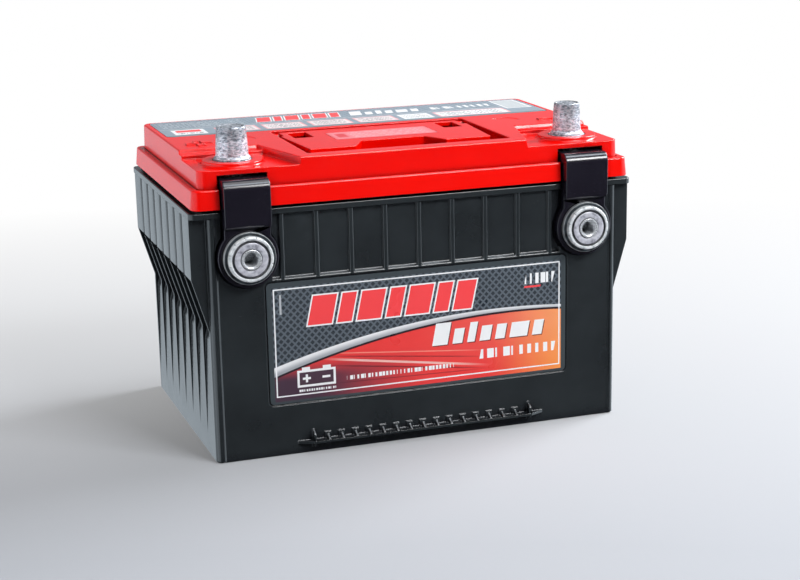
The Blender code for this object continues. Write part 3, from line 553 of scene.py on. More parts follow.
def add_end_channels(bm):
    lines = fin_lines()
    for outline in both_sides(channel_outline()):
        for front, back in zip(lines, lines[1:]):
            low = front + FIN_THICKNESS / 2
            high = back - FIN_THICKNESS / 2
            add_prism(bm, outline, low, high, "Y")


def add_apron_grooves(bm):
    """Grooves between the apron's pads, with the pads' edges falling away to them."""
    section = [
        (FLARE_X + PAST, -PAD_EDGE), (FLARE_X, -PAD_EDGE), (FLARE_X - PAD_DROP, -GROOVE_HALF),
        (FLARE_X - GROOVE_DROP, -GROOVE_HALF), (FLARE_X - GROOVE_DROP, GROOVE_HALF),
        (FLARE_X - PAD_DROP, GROOVE_HALF), (FLARE_X, PAD_EDGE), (FLARE_X + PAST, PAD_EDGE),
    ]
    for side in (-1, 1):
        for line in fin_lines()[1:-1]:
            outline = [(side * x, line + y) for x, y in section]
            add_prism(bm, outline, APRON_BOTTOM - PAST, RIM_BOTTOM + PAST)


def rib_edges():
    return [(i - (RIB_COUNT - 1) / 2) * RIB_PITCH for i in range(RIB_COUNT)]


def add_rib_panels(bm):
    """Recesses between the ribs, each with a sloped sill, and a part panel past the last rib."""
    edges = rib_edges()
    spans = [(a + RIB_WIDTH / 2, b - RIB_WIDTH / 2) for a, b in zip(edges, edges[1:])]
    last = edges[-1] + RIB_WIDTH / 2
    spans += [(last, last + PART_PANEL), (-last - PART_PANEL, -last)]
    wall = -FRONT
    section = [
        (wall + PAST, PANEL_BOTTOM), (wall, PANEL_BOTTOM),
        (wall - PANEL_DEPTH, PANEL_BOTTOM + PANEL_SLOPE), (wall - PANEL_DEPTH, PANEL_TOP),
        (wall + PAST, PANEL_TOP),
    ]
    for side in (-1, 1):
        outline = [(side * y, z) for y, z in section]
        for low, high in spans:
            add_prism(bm, outline, low, high, "X")


def add_label_bed(bm):
    outline = bed_outline(LABEL_LOW, LABEL_HIGH, 2, LABEL_BED_MARGIN, LABEL_BED_CORNER)
    add_prism(bm, outline, FRONT - PAST, FRONT + LABEL_BED_DEPTH, "Y")


def keyhole_outline(clearance, radius, top, steps=36):
    """Keyhole around a side terminal: a round foot and a straight neck up to a height."""
    inner = STRAP_INNER - clearance
    outer = STRAP_OUTER + clearance
    half = (outer - inner) / 2
    rise = math.degrees(math.acos(half / radius))
    round_part = arc((SIDE_X, SIDE_Z), radius, 180 - rise, 360 + rise, steps)
    return [(outer, top), (inner, top)] + round_part


def add_terminal_recesses(bm):
    keyhole = keyhole_outline(STRAP_CLEARANCE, RECESS_RADIUS, CASE_TOP + PAST)
    for outline in both_sides(keyhole):
        add_prism(bm, outline, FRONT - PAST, FRONT + RECESS_DEPTH, "Y")


def ledge_outline(side):
    """Hold-down ledge seen from above, on the front (-1) or the rear (+1)."""
    wall = side * (-FRONT - 1.0)
    reach = side * (-FRONT + LEDGE_REACH)
    tip = side * (-FRONT + 0.6)
    return [
        (-LEDGE_TIP, wall), (-LEDGE_TIP, tip), (-LEDGE_END_FIN, reach),
        (LEDGE_END_FIN, reach), (LEDGE_TIP, tip), (LEDGE_TIP, wall),
    ]


def add_ledges(bm):
    for side in (-1, 1):
        add_prism(bm, ledge_outline(side), LEDGE_BOTTOM, LEDGE_TOP)


def ledge_fin_places():
    half_count = (LEDGE_FINS - 1) // 2
    return [i * LEDGE_FIN_PITCH for i in range(-half_count, half_count + 1)]


def add_ledge_fins(bm):
    wall = -FRONT - 1.0
    tip = -FRONT + LEDGE_REACH - 0.2
    small = [(wall, 11.9), (-FRONT, 11.4), (tip, 8.6), (tip, 6.2), (-FRONT, 3.8), (wall, 3.4)]
    tall = [
        (wall, 15.2), (-FRONT, 15.0), (tip - 1.0, 13.4), (tip, 12.0),
        (tip, 5.4), (-FRONT, 3.2), (wall, 2.8),
    ]
    places = [(x, small) for x in ledge_fin_places()]
    places += [(-LEDGE_END_FIN, tall), (LEDGE_END_FIN, tall)]
    half = LEDGE_FIN_THICKNESS / 2
    for side in (-1, 1):
        for x, outline in places:
            shape = [(side * y, z) for y, z in outline]
            add_prism(bm, shape, x - half, x + half, "X")


def add_ledge_fin_heads(bm):
    """The wide root of each small fin on the wall above the ledge."""
    for side in (-1, 1):
        y = sorted((side * (-FRONT - 1.0), side * (-FRONT + FIN_HEAD_RISE)))
        for x in ledge_fin_places():
            span = (x - FIN_HEAD_HALF_WIDTH, x + FIN_HEAD_HALF_WIDTH)
            add_box(bm, span, y, (LEDGE_BOTTOM + 0.5, FIN_HEAD_TOP))


def add_corner_beads(bm):
    for x in (-BEAD_X, BEAD_X):
        for side in (-1, 1):
            centre = (x, side * (-FRONT - BEAD_RADIUS + BEAD_RISE))
            add_prism(bm, circle_at(centre, BEAD_RADIUS, 32), 1.0, RIM_BOTTOM + 1.0)


def add_cells(bm):
    for index in range(CELLS):
        x = cell_centre(index)
        half = CELL_WIDTH / 2
        outline = rounded_rectangle(x - half, x + half, -SIDE_INNER, SIDE_INNER, 1.5, 4)
        add_prism(bm, outline, FLOOR, CASE_TOP + PAST)


def add_weld_holes(bm):
    """Holes through the partitions, alternating between the rear and the front."""
    for index in range(CELLS - 1):
        x = cell_centre(index) + CELL_PITCH / 2
        y = WELD_Y if index % 2 == 0 else -WELD_Y
        add_prism(bm, circle_at((y, WELD_Z), WELD_HOLE, 24), x - PARTITION, x + PARTITION, "X")


def outside_the_cells(x, y, z):
    """Share of the edge rounding: none inside the cells, large on the ribs' upright edges."""
    if abs(x) < END_INNER + 0.5 and abs(y) < SIDE_INNER + 0.5 and z > FLOOR - 1.0:
        return 0.0
    if abs(y) > -FRONT and z < LEDGE_ZONE_TOP:
        return LEDGE_SHARE
    ribs = (RIB_COUNT - 1) / 2 * RIB_PITCH + RIB_WIDTH
    if abs(x) < ribs and abs(y) > -FRONT - 0.1 and PANEL_BOTTOM + 5.0 < z < RIM_BOTTOM - 5.0:
        return RIB_SHARE
    return PAD_SHARE if abs(x) > FLARE_X - APRON_THICKNESS else PLAIN_SHARE


def make_case(material):
    case = solid("container", lambda bm: add_rounded_block(
        bm, CASE_LENGTH, CASE_WIDTH, CASE_CORNER, wall_profile((0, 0), (0, CASE_TOP), 1.0, 0.3)))
    join(case, add_corner_beads)
    for outline in both_sides(flare_outline()):
        join(case, lambda bm: add_prism(bm, outline, -FLARE_HALF_WIDTH, FLARE_HALF_WIDTH, "Y"))
    cut(case, add_end_channels)
    cut(case, add_apron_grooves)
    cut(case, add_rib_panels)
    join(case, lambda bm: add_rounded_block(
        bm, RIM_LENGTH, RIM_WIDTH, CASE_CORNER,
        wall_profile((0, RIM_BOTTOM), (0, CASE_TOP), 0.6, 0.6)))
    join(case, add_ledges)
    join(case, add_ledge_fins)
    join(case, add_ledge_fin_heads)
    cut(case, add_label_bed)
    cut(case, add_terminal_recesses)
    cut(case, add_cells)
    cut(case, lambda bm: add_box(
        bm, (-END_INNER + 1.0, END_INNER - 1.0), (-SIDE_INNER + 1.0, SIDE_INNER - 1.0),
        (PARTITION_TOP, CASE_TOP + PAST)))
    cut(case, add_weld_holes)
    soften(case, CASE_EDGE, outside_the_cells, 3)
    return put_in_frame(case, "root", "case_black", material, "case")


# ---------------------------------------------------------------- top cover

def pocket_outline(back, inset=0.0):
    """Right-hand terminal pocket seen from above, up to its back wall."""
    outside = COVER_LENGTH / 2 + PAST
    front = -TIER_WIDTH / 2
    slant = (POCKET_BACK_X - POCKET_FRONT_X) / (POCKET_BACK_Y - front)
    inner_back = POCKET_FRONT_X + slant * (back - inset - front) + inset
    return [
        (POCKET_FRONT_X - slant * PAST + inset, front - PAST), (outside, front - PAST),
        (outside, back - inset), (inner_back, back - inset),
    ]


def add_pocket(bm, back, floor, side):
    """A pocket whose walls lean outwards to the top."""
    sections = []
    for inset, height in ((POCKET_SLOPE, floor), (0.0, COVER_TOP), (-0.5, COVER_TOP + PAST)):
        outline = pocket_outline(back, inset)
        sections.append((outline if side > 0 else mirrored(outline), height))
    add_loft(bm, sections)


def raised_void_outline():
    """The hollow under the raised middle of the cover, clear of the pockets' walls."""
    wall = COVER_WALL
    x = TIER_LENGTH / 2 - wall
    y = TIER_WIDTH / 2 - wall
    right = [
        (POCKET_FRONT_X - wall, -y), (POCKET_BACK_X - wall, POCKET_BACK_Y + wall),
        (x, POCKET_BACK_Y + wall), (x, y),
    ]
    return right + mirrored(right)


def make_cover_void():
    """The whole hollow under the cover, left solid where the handle well stands."""
    wall = COVER_WALL
    below = SKIRT_BOTTOM - 4.0
    void = solid("cover_void", lambda bm: add_prism(
        bm, centred_rectangle(COVER_LENGTH - 2 * wall, COVER_WIDTH - 2 * wall, wall),
        below, SKIRT_TOP - wall))
    join(void, lambda bm: add_prism(
        bm, centred_rectangle(TIER_LENGTH - 2 * wall, TIER_WIDTH - 2 * wall, wall),
        below - 1.0, SHELF - wall))
    join(void, lambda bm: add_prism(bm, raised_void_outline(), SKIRT_BOTTOM, COVER_TOP - wall))
    half = WELL_HALF + WELL_WALL
    cut(void, lambda bm: add_box(
        bm, (-half, half), (WELL_FRONT - WELL_WALL, WELL_BACK + WELL_WALL),
        (LID_TOP + GAP, COVER_TOP + PAST)))
    return void


def add_cover_marks(bm, inset, low, high):
    """Plus and minus shapes behind the posts, drawn smaller by inset."""
    reach = MARK_REACH - inset
    half = MARK_HALF - inset
    plus = [
        (-reach, -half), (-half, -half), (-half, -reach), (half, -reach), (half, -half),
        (reach, -half), (reach, half), (half, half), (half, reach), (-half, reach),
        (-half, half), (-reach, half),
    ]
    add_prism(bm, [(x - MARK_X, y + MARK_Y) for x, y in plus], low, high)
    add_box(bm, (MARK_X - reach, MARK_X + reach), (MARK_Y - half, MARK_Y + half), (low, high))


def add_boss(bm, side):
    """The raised collar seat round a post, with a fillet at its foot."""
    fillet = 1.6
    profile = [(0, SHELF - 1.0), (BOSS_RADIUS + fillet, SHELF - 1.0), (BOSS_RADIUS + fillet, SHELF)]
    for step in range(1, 6):
        angle = math.radians(90 * step / 5)
        profile.append((
            BOSS_RADIUS + fillet * (1 - math.sin(angle)),
            SHELF + fillet * (1 - math.cos(angle))))
    edge = 0.7
    for step in range(5):
        angle = math.radians(90 * step / 4)
        profile.append((
            BOSS_RADIUS - edge * (1 - math.cos(angle)),
            BOSS_TOP - edge * (1 - math.sin(angle))))
    profile.append((0, BOSS_TOP))
    add_turned(bm, profile, 64, (side * POST_X, POST_Y))


def add_post_holes(bm):
    add_round_pair(bm, POST_X, POST_Y, BUSHING_RADIUS + GAP, SHELF - PAST, COVER_TOP + PAST)


def add_well(bm):
    well = rounded_rectangle(-WELL_HALF, WELL_HALF, WELL_FRONT, WELL_BACK, 2.0)
    add_prism(bm, well, LID_TOP - PAST, COVER_TOP + PAST)


def add_trunnion_holes(bm):
    for side in (-1, 1):
        circle = circle_at((HINGE_Y, HINGE_Z), TRUNNION_RADIUS + GAP, 24)
        x = sorted((side * (WELL_HALF - PAST), side * (WELL_HALF + PAST)))
        add_prism(bm, circle, x[0], x[1], "X")


def add_hinge_cradles(bm):
    """Fins on the well's rear wall that carry the handle's barrel behind its windows."""
    middle = (WINDOW_INNER + WINDOW_OUTER) / 2
    rear = WELL_BACK + 1.0
    top = HINGE_Z - BARREL_RADIUS - GAP
    outline = [(rear, top - 10.0), (rear, top), (HINGE_Y - 6.0, top), (HINGE_Y - 12.0, top - 10.0)]
    for side in (-1, 1):
        x = side * middle
        add_prism(bm, outline, x - CRADLE_WIDTH / 2, x + CRADLE_WIDTH / 2, "X")


def add_strap_notches(bm):
    """Openings through the cover's front wall for the two strap covers."""
    y = (-COVER_WIDTH / 2 - PAST, -TIER_WIDTH / 2 + COVER_WALL + PAST)
    z = (SKIRT_BOTTOM - PAST, SHELF - COVER_WALL - 0.1)
    add_box_pair(bm, STRAP_INNER - STRAP_CLEARANCE, STRAP_OUTER + STRAP_CLEARANCE, y, z)


def add_vent_sockets(bm):
    inside = TIER_WIDTH / 2 - COVER_WALL
    add_round_pair(bm, VENT_X, VENT_Z, VENT_SOCKET, inside - VENT_SOCKET_LENGTH, inside + 0.5, "Y")


def add_vent_bores(bm):
    """Stepped bores: a socket for the arrestor and a small port through the rear wall."""
    inside = TIER_WIDTH / 2 - COVER_WALL
    low = inside - VENT_SOCKET_LENGTH - PAST
    high = TIER_WIDTH / 2 + PAST
    profile = [
        (0, low), (VENT_BORE, low), (VENT_BORE, inside),
        (VENT_PORT, inside), (VENT_PORT, high), (0, high),
    ]
    for side in (-1, 1):
        add_turned(bm, profile, 32, (side * VENT_X, VENT_Z), "Y")


def add_vent_rims(bm):
    """A low raised ring round each vent port on the rear face."""
    wall = TIER_WIDTH / 2 - 0.4
    for side in (-1, 1):
        profile = [
            (VENT_PORT + 0.8, wall - 1.0), (VENT_PORT + 3.2, wall - 1.0),
            (VENT_PORT + 3.2, wall + 0.5), (VENT_PORT + 2.7, wall + 1.0),
            (VENT_PORT + 1.3, wall + 1.0), (VENT_PORT + 0.8, wall + 0.5),
        ]
        add_turned(bm, profile, 40, (side * VENT_X, VENT_Z), "Y", ring=True)


def add_mould_marks(bm):
    x, y = MOULD_MARK
    add_round_pair(bm, x, y, MOULD_MARK_RADIUS, COVER_TOP - 0.2, COVER_TOP + PAST, segments=56)


def cover_rounding(x, y, z):
    """Share of the edge rounding: small on low features, none on the hidden underside."""
    if abs(z - SKIRT_TOP) < 0.8:
        return 0.25
    near_mark = max(abs(abs(x) - MARK_X), abs(y - MARK_Y)) < MARK_REACH + 0.5
    if z > COVER_TOP + 0.01 or near_mark:
        return 0.5
    if z < SHELF - 0.5 and abs(x) < COVER_LENGTH / 2 - 4.0 and abs(y) < TIER_WIDTH / 2 - 1.0:
        return 0.0
    along_label = abs(x) < TOP_LABEL_HIGH[0] + 1.0
    if along_label and TOP_LABEL_LOW[1] - 1.0 < y < TOP_LABEL_HIGH[1] + 1.0:
        return 0.3
    if math.hypot(abs(x) - MOULD_MARK[0], y - MOULD_MARK[1]) < MOULD_MARK_RADIUS + 0.2:
        return 0.25
    if y > TIER_WIDTH / 2 - 1.0 and abs(abs(x) - VENT_X) < 8.0 and z < SHELF:
        return 0.3
    return 1.0


def make_cover(material):
    skirt = wall_profile((0, SKIRT_BOTTOM), (COVER_DRAFT, SKIRT_TOP), 0.4, COVER_ROUND)
    tier = wall_profile((0, SKIRT_TOP - 2.0), (COVER_DRAFT / 2, COVER_TOP), 0.3, COVER_ROUND)
    cover = solid("cover_shell", lambda bm: add_rounded_block(
        bm, COVER_LENGTH, COVER_WIDTH, COVER_CORNER, skirt))
    cut(cover, lambda bm: add_rounded_block(
        bm, TIER_LENGTH + 2 * FOOT_GROOVE_WIDTH, TIER_WIDTH + 2 * FOOT_GROOVE_WIDTH, COVER_CORNER,
        [(0, SKIRT_TOP - FOOT_GROOVE_DEPTH), (0, SKIRT_TOP + PAST)]))
    join(cover, lambda bm: add_rounded_block(bm, TIER_LENGTH, TIER_WIDTH, COVER_CORNER, tier))
    step_back = POCKET_BACK_Y - POCKET_STEP_DEPTH
    for back, floor in ((POCKET_BACK_Y, POCKET_STEP), (step_back, SHELF)):
        for side in (-1, 1):
            cut(cover, lambda bm: add_pocket(bm, back, floor, side))
    for side in (-1, 1):
        join(cover, lambda bm: add_boss(bm, side))
    cut(cover, add_well)
    cut(cover, add_strap_notches)
    cut(cover, add_post_holes)
    apply_tool(cover, "DIFFERENCE", make_cover_void())
    join(cover, add_hinge_cradles)
    cut(cover, add_trunnion_holes)
    join(cover, lambda bm: add_cover_marks(bm, 0.0, COVER_TOP - 1.0, COVER_TOP + MARK_RISE))
    cut(cover, lambda bm: add_cover_marks(bm, MARK_RIM, COVER_TOP + 0.02, COVER_TOP + PAST))
    join(cover, add_vent_sockets)
    join(cover, add_vent_rims)
    cut(cover, add_vent_bores)
    cut(cover, add_mould_marks)
    bed = bed_outline(TOP_LABEL_LOW, TOP_LABEL_HIGH, 1, GAP, TOP_LABEL_CORNER)
    cut(cover, lambda bm: add_prism(bm, bed, COVER_TOP - LABEL_BED, COVER_TOP + PAST))
    soften(cover, COVER_EDGE, cover_rounding)
    return put_in_frame(cover, "root", "cover_red", material, "top_cover")


# ---------------------------------------------------------------- lifting handle

def notch_outline(grow):
    """The finger notch in the handle's front edge, made larger by grow."""
    head = HANDLE_FRONT + NOTCH_DEPTH + grow
    return [
        (NOTCH_HEAD + grow, head), (-NOTCH_HEAD - grow, head),
        (-NOTCH_FOOT - grow, HANDLE_FRONT), (NOTCH_FOOT + grow, HANDLE_FRONT),
    ]


def handle_plan():
    """The handle seen from above, wider at its hinge than at its front edge."""
    back = HINGE_Y + BARREL_RADIUS + PAST
    right = [
        (NOTCH_HEAD, HANDLE_FRONT + NOTCH_DEPTH), (NOTCH_FOOT, HANDLE_FRONT),
        (HANDLE_FRONT_HALF, HANDLE_FRONT), (HANDLE_BACK_HALF, HINGE_Y), (HANDLE_BACK_HALF, back),
    ]
    return right + mirrored(right)


def add_handle_ribs(bm):
    under = HANDLE_TOP - HANDLE_THICKNESS
    half = HANDLE_RIB_WIDTH / 2
    y = (HANDLE_FRONT + NOTCH_DEPTH + NOTCH_WALL + 1.0, HINGE_Y - BARREL_RADIUS - 2.0)
    for x in HANDLE_RIBS:
        for centre in (-x, x):
            add_box(bm, (centre - half, centre + half), y, (HANDLE_RIB_BOTTOM, under + 0.5))


def add_windows(bm):
    y = (WINDOW_FRONT, HINGE_Y - BARREL_RADIUS)
    add_box_pair(bm, WINDOW_INNER, WINDOW_OUTER, y, (HINGE_Z - PAST, HANDLE_TOP + PAST))


def add_corner_notches(bm):
    """Cuts through the rear corners, crossed by the pins."""
    y = (CORNER_NOTCH_FRONT, HINGE_Y + BARREL_RADIUS + PAST)
    z = (HINGE_Z - PAST, HANDLE_TOP + PAST)
    add_box_pair(bm, CORNER_NOTCH, HANDLE_BACK_HALF + PAST, y, z)


def add_hinge_pins(bm):
    """Pins that cross the corner notches and end as trunnions in the well's side walls."""
    circle = circle_at((HINGE_Y, HINGE_Z), TRUNNION_RADIUS, 32)
    reach = WELL_HALF + TRUNNION_REACH
    for x in ((CORNER_NOTCH - 1.0, reach), (-reach, 1.0 - CORNER_NOTCH)):
        add_prism(bm, circle, x[0], x[1], "X")


def handle_rounding(x, y, z):
    """Share of the edge rounding: small round the label bed and on the pins."""
    along_label = abs(x) < HANDLE_LABEL_HIGH[0] + 0.5
    across_label = HANDLE_LABEL_LOW[1] - 0.5 < y < HANDLE_LABEL_HIGH[1] + 0.5
    if along_label and across_label and z > HINGE_Z:
        return 0.3
    on_pin = math.hypot(y - HINGE_Y, z - HINGE_Z) < TRUNNION_RADIUS + 0.1
    return 0.5 if on_pin else 1.0


def make_handle(material):
    """A flap with a barrel along its rear edge."""
    under = HANDLE_TOP - HANDLE_THICKNESS
    drop = math.degrees(math.asin((HINGE_Z - under) / BARREL_RADIUS))
    side_view = [(HANDLE_FRONT - 1.0, HANDLE_TOP)]
    side_view += arc((HINGE_Y, HINGE_Z), BARREL_RADIUS, 90, -180 + drop, 24)
    side_view += [(HANDLE_FRONT - 1.0, under)]
    half = HANDLE_BACK_HALF + 1.0
    handle = solid("handle_flap", lambda bm: add_prism(bm, side_view, -half, half, "X"))
    join(handle, lambda bm: add_prism(bm, notch_outline(NOTCH_WALL), NOTCH_WALL_BOTTOM, under + 0.5))
    join(handle, add_handle_ribs)
    combine(handle, "INTERSECT", lambda bm: add_prism(
        bm, handle_plan(), NOTCH_WALL_BOTTOM - PAST, HANDLE_TOP + PAST))
    cut(handle, add_windows)
    cut(handle, add_corner_notches)
    join(handle, add_hinge_pins)
    bed = bed_outline(HANDLE_LABEL_LOW, HANDLE_LABEL_HIGH, 1, GAP, HANDLE_LABEL_CORNER)
    cut(handle, lambda bm: add_prism(bm, bed, HANDLE_TOP - LABEL_BED, HANDLE_TOP + PAST))
    soften(handle, HANDLE_EDGE, handle_rounding)
    return put_in_frame(handle, "handle", "cover_red", material, "lifting_handle")


# ---------------------------------------------------------------- terminals

def side_of(polarity):
    return -1 if polarity == "positive" else 1


def cast_wobble(x, y, height, seed):
    """Uneven surface of a casting, in millimetres."""
    broad = noise.noise(Vector((x * 0.25 + seed, y * 0.25, height * 0.5)))
    fine = noise.noise(Vector((x * 0.9, y * 0.9 + seed, height * 1.6)))
    return CAST_BROAD * broad + CAST_FINE * fine


def make_post(polarity, material):
    """A cast lead post with faint rings, an uneven skin and a ragged collar at its foot."""
    base, top = POST_RADII[polarity]
    side = side_of(polarity)
    seed = POST_SEEDS[polarity]
    collar = BOSS_TOP + 0.2
    collar_top = collar + 1.1
    start = collar_top + 0.9
    outside = [
        (BUSHING_RADIUS, POST_FOOT), (BUSHING_RADIUS, collar - 0.3),
        (BUSHING_RADIUS - 0.2, collar - 0.1), (base + 1.1, collar), (base + 1.3, collar + 0.5),
        (base + 1.0, collar_top), (base + 0.5, collar_top + 0.25),
    ]
    for step in range(POST_STEPS + 1):
        share = step / POST_STEPS
        outside.append((base + (top - base) * share, start + (POST_TOP - 1.0 - start) * share))
    outside += [(top - 0.15, POST_TOP - 0.5), (top - 0.5, POST_TOP - 0.12), (top - 1.0, POST_TOP)]
    inside = [
        (BUSHING_BORE + 0.7, POST_TOP - 0.1), (BUSHING_BORE + 0.1, POST_TOP - 0.5),
        (BUSHING_BORE, POST_TOP - 1.0), (BUSHING_BORE, POST_FOOT),
    ]

    def shape(radius, height, angle):
        if height < collar or radius < BUSHING_BORE + 0.2:
            return radius
        x, y = radius * math.cos(angle), radius * math.sin(angle)
        wobble = cast_wobble(x, y, height, seed)
        if height < start:
            return radius + COLLAR_RAGGED * wobble - 0.1
        rings = CAST_RINGS * math.sin(height * 2.9 + seed)
        return min(radius + wobble + rings, BUSHING_RADIUS)

    post = solid(polarity + "_post", lambda bm: add_turned(
        bm, outside + inside, 96, (side * POST_X, POST_Y), ring=True, shape=shape))
    return put_in_frame(post, "root", "cast_lead", material, polarity + "_post_bushing")


def make_strap_cover(polarity, material):
    """A black channel that wraps the side bar, with a round cup round the side terminal."""
    side = side_of(polarity)
    x = sorted((side * STRAP_INNER, side * STRAP_OUTER))
    back = FRONT + 1.5
    side_view = [(STRAP_BACK, STRAP_TOP)]
    side_view += arc((STRAP_FRONT + STRAP_BEND, STRAP_TOP - STRAP_BEND), STRAP_BEND, 90, 180, 14)
    side_view += [
        (STRAP_FRONT, STRAP_FOOT), (STRAP_FRONT + 1.8, STRAP_FOOT - 2.6),
        (STRAP_PLATE + 1.0, STRAP_FOOT - 2.6), (back, STRAP_FOOT + 5.0),
        (back, BAR_TOP - 5.0), (STRAP_BACK, BAR_TOP - 5.0),
    ]
    cover = solid(polarity + "_strap", lambda bm: add_prism(bm, side_view, x[0], x[1], "X"))
    keyhole = keyhole_outline(-0.05, STRAP_CUP_RADIUS, BAR_TOP - 12.0)
    if side < 0:
        keyhole = mirrored(keyhole)
    join(cover, lambda bm: add_prism(bm, keyhole, STRAP_PLATE, back + 0.01, "Y"))
    half = BAR_WIDTH / 2 + GAP
    channel = sorted((side * (SIDE_X - half), side * (SIDE_X + half)))
    cut(cover, lambda bm: add_box(
        bm, channel, (BAR_FRONT - GAP, POST_Y), (SIDE_Z - half, BAR_TOP + GAP)))
    stub = circle_at((side * SIDE_X, SIDE_Z), STUB_HOLE)
    cut(cover, lambda bm: add_prism(bm, stub, STRAP_PLATE - PAST, back + PAST, "Y"))

    def rounding(x, y, z):
        in_channel = abs(abs(x) - SIDE_X) < half + 0.1 and y > BAR_FRONT - GAP - 0.1
        return 0.0 if in_channel else 1.0

    soften(cover, STRAP_EDGE, rounding, 3)
    return put_in_frame(cover, "root", "case_black", material, polarity + "_strap_cover")


def make_side_terminal(polarity, material):
    """A stepped lead disc with a plain flange, a notched ring and a face groove."""
    bore = INSERT_RADIUS + GAP
    face = SIDE_FACE
    stub = STUB_HOLE - 0.6
    flange = STRAP_PLATE - GAP
    flange_face = flange - FLANGE_THICKNESS
    profile = [
        (bore, BAR_FRONT - GAP), (stub, BAR_FRONT - GAP), (stub, flange), (FLANGE_RADIUS - 0.3, flange),
        (FLANGE_RADIUS, flange - 0.4), (FLANGE_RADIUS, flange_face + 0.5),
        (FLANGE_RADIUS - 0.15, flange_face + 0.15), (FLANGE_RADIUS - 0.5, flange_face),
        (DISC_RADIUS + 0.3, flange_face), (DISC_RADIUS, flange_face - 0.3), (DISC_RADIUS, face + 0.6),
        (DISC_RADIUS - 0.2, face + 0.2), (DISC_RADIUS - 0.6, face), (GROOVE_OUTER + 0.2, face),
        (GROOVE_OUTER, face + 0.2), (GROOVE_OUTER, face + GROOVE_DEPTH),
        (GROOVE_INNER, face + GROOVE_DEPTH), (GROOVE_INNER, face + 0.2),
        (GROOVE_INNER - 0.25, face + 0.02), (8.5, face + 0.05),
        (bore + 0.5, face + 0.03), (bore, face + 0.3),
    ]

    def shape(radius, height, angle):
        if abs(radius - DISC_RADIUS) > 0.65 or height > face + 1.0:
            return radius
        turn = (angle / (2 * math.pi) * RING_NOTCHES) % 1.0
        notch = max(0.0, 1.0 - abs(turn - 0.5) / NOTCH_SHARE)
        return radius - NOTCH_CUT * min(1.0, notch * NOTCH_FLANK)

    centre = (side_of(polarity) * SIDE_X, SIDE_Z)
    terminal = solid(polarity + "_disc", lambda bm: add_turned(
        bm, profile, RING_NOTCHES * 20, centre, "Y", ring=True, shape=shape))
    return put_in_frame(terminal, "root", "cast_lead", material, polarity + "_side_terminal")


def make_thread_insert(polarity, material):
    """A steel insert with a blind threaded hole for the terminal bolt."""
    back = FRONT + 1.3
    front = SIDE_FACE - 0.5
    hole_end = back - 1.4
    profile = [
        (0, back), (INSERT_RADIUS, back), (INSERT_RADIUS, front + 0.4),
        (INSERT_RADIUS - 0.12, front + 0.1), (INSERT_RADIUS - 0.4, front),
        (THREAD_BORE + 1.0, front), (THREAD_BORE + 0.75, front + 0.1),
    ]
    first = front + 0.6
    rows = int((hole_end - first) / (THREAD_PITCH / THREAD_ROWS))
    for row in range(rows):
        profile.append((THREAD_BORE, first + row * THREAD_PITCH / THREAD_ROWS))
    profile += [(THREAD_BORE - 0.01, hole_end), (0, hole_end)]

    def shape(radius, height, angle):
        if radius != THREAD_BORE:
            return radius
        turn = (height / THREAD_PITCH - angle / (2 * math.pi)) % 1.0
        return radius + THREAD_DEPTH * (1 - abs(2 * turn - 1)) - 0.15

    centre = (side_of(polarity) * SIDE_X, SIDE_Z)
    insert = solid(polarity + "_insert", lambda bm: add_turned(
        bm, profile, 64, centre, "Y", shape=shape))
    return put_in_frame(insert, "root", "insert_steel", material, polarity + "_thread_insert")


# ---------------------------------------------------------------- material helpers

def srgb(red, green, blue):
    """A linear colour from the 0 to 255 numbers of a display colour."""
    linear = []
    for value in (red, green, blue):
        share = value / 255
        linear.append(share / 12.92 if share <= 0.04045 else ((share + 0.055) / 1.055) ** 2.4)
    return (*linear, 1.0)


class Nodes:
    """Short ways to add nodes to one node tree."""

    def __init__(self, tree):
        self.tree = tree

    def add(self, kind, inputs=None, **settings):
        node = self.tree.nodes.new(kind)
        for key, value in settings.items():
            setattr(node, key, value)
        for key, value in (inputs or {}).items():
            self.plug(node.inputs[key], value)
        return node

    def plug(self, socket, value):
        if isinstance(value, bpy.types.NodeSocket):
            self.tree.links.new(value, socket)
        else:
            socket.default_value = value

    def parts(self, vector):
        """The X, Y and Z of a vector."""
        return self.add("ShaderNodeSeparateXYZ", {0: vector}).outputs

    def math(self, operation, a, b=0.0, c=0.0):
        return self.add("ShaderNodeMath", {0: a, 1: b, 2: c}, operation=operation).outputs[0]

    def times(self, a, b):
        return self.math("MULTIPLY", a, b)

    def within(self, value, reach):
        """1 where value is nearer to zero than reach."""
        return self.math("LESS_THAN", self.math("ABSOLUTE", value), reach)

    def fade(self, value, start, end, low=0.0, high=1.0, interpolation="SMOOTHSTEP"):
        """Low where value is at start, high where it is at end."""
        inputs = {"Value": value, "From Min": start, "From Max": end, "To Min": low, "To Max": high}
        return self.add("ShaderNodeMapRange", inputs, interpolation_type=interpolation).outputs[0]

    def between(self, factor, a, b):
        """A mix of two plain values."""
        return self.add("ShaderNodeMix", {0: factor, 2: a, 3: b}).outputs[0]

    def mix(self, factor, a, b, blend_type="MIX"):
        """A mix of two colours."""
        inputs = {0: factor, 6: a, 7: b}
        return self.add("ShaderNodeMix", inputs, data_type="RGBA", blend_type=blend_type).outputs[2]

    def multiply(self, colour, shade_colour):
        return self.mix(1.0, colour, shade_colour, "MULTIPLY")

    def ramp(self, factor, *stops):
        """A value or colour that follows (position, value) stops."""
        node = self.add("ShaderNodeValToRGB", {"Fac": factor})
        elements = node.color_ramp.elements
        while len(elements) < len(stops):
            elements.new(0.5)
        for element, (position, value) in zip(elements, stops):
            element.position = position
            element.color = value if isinstance(value, tuple) else (value, value, value, 1.0)
        return node.outputs["Color"]


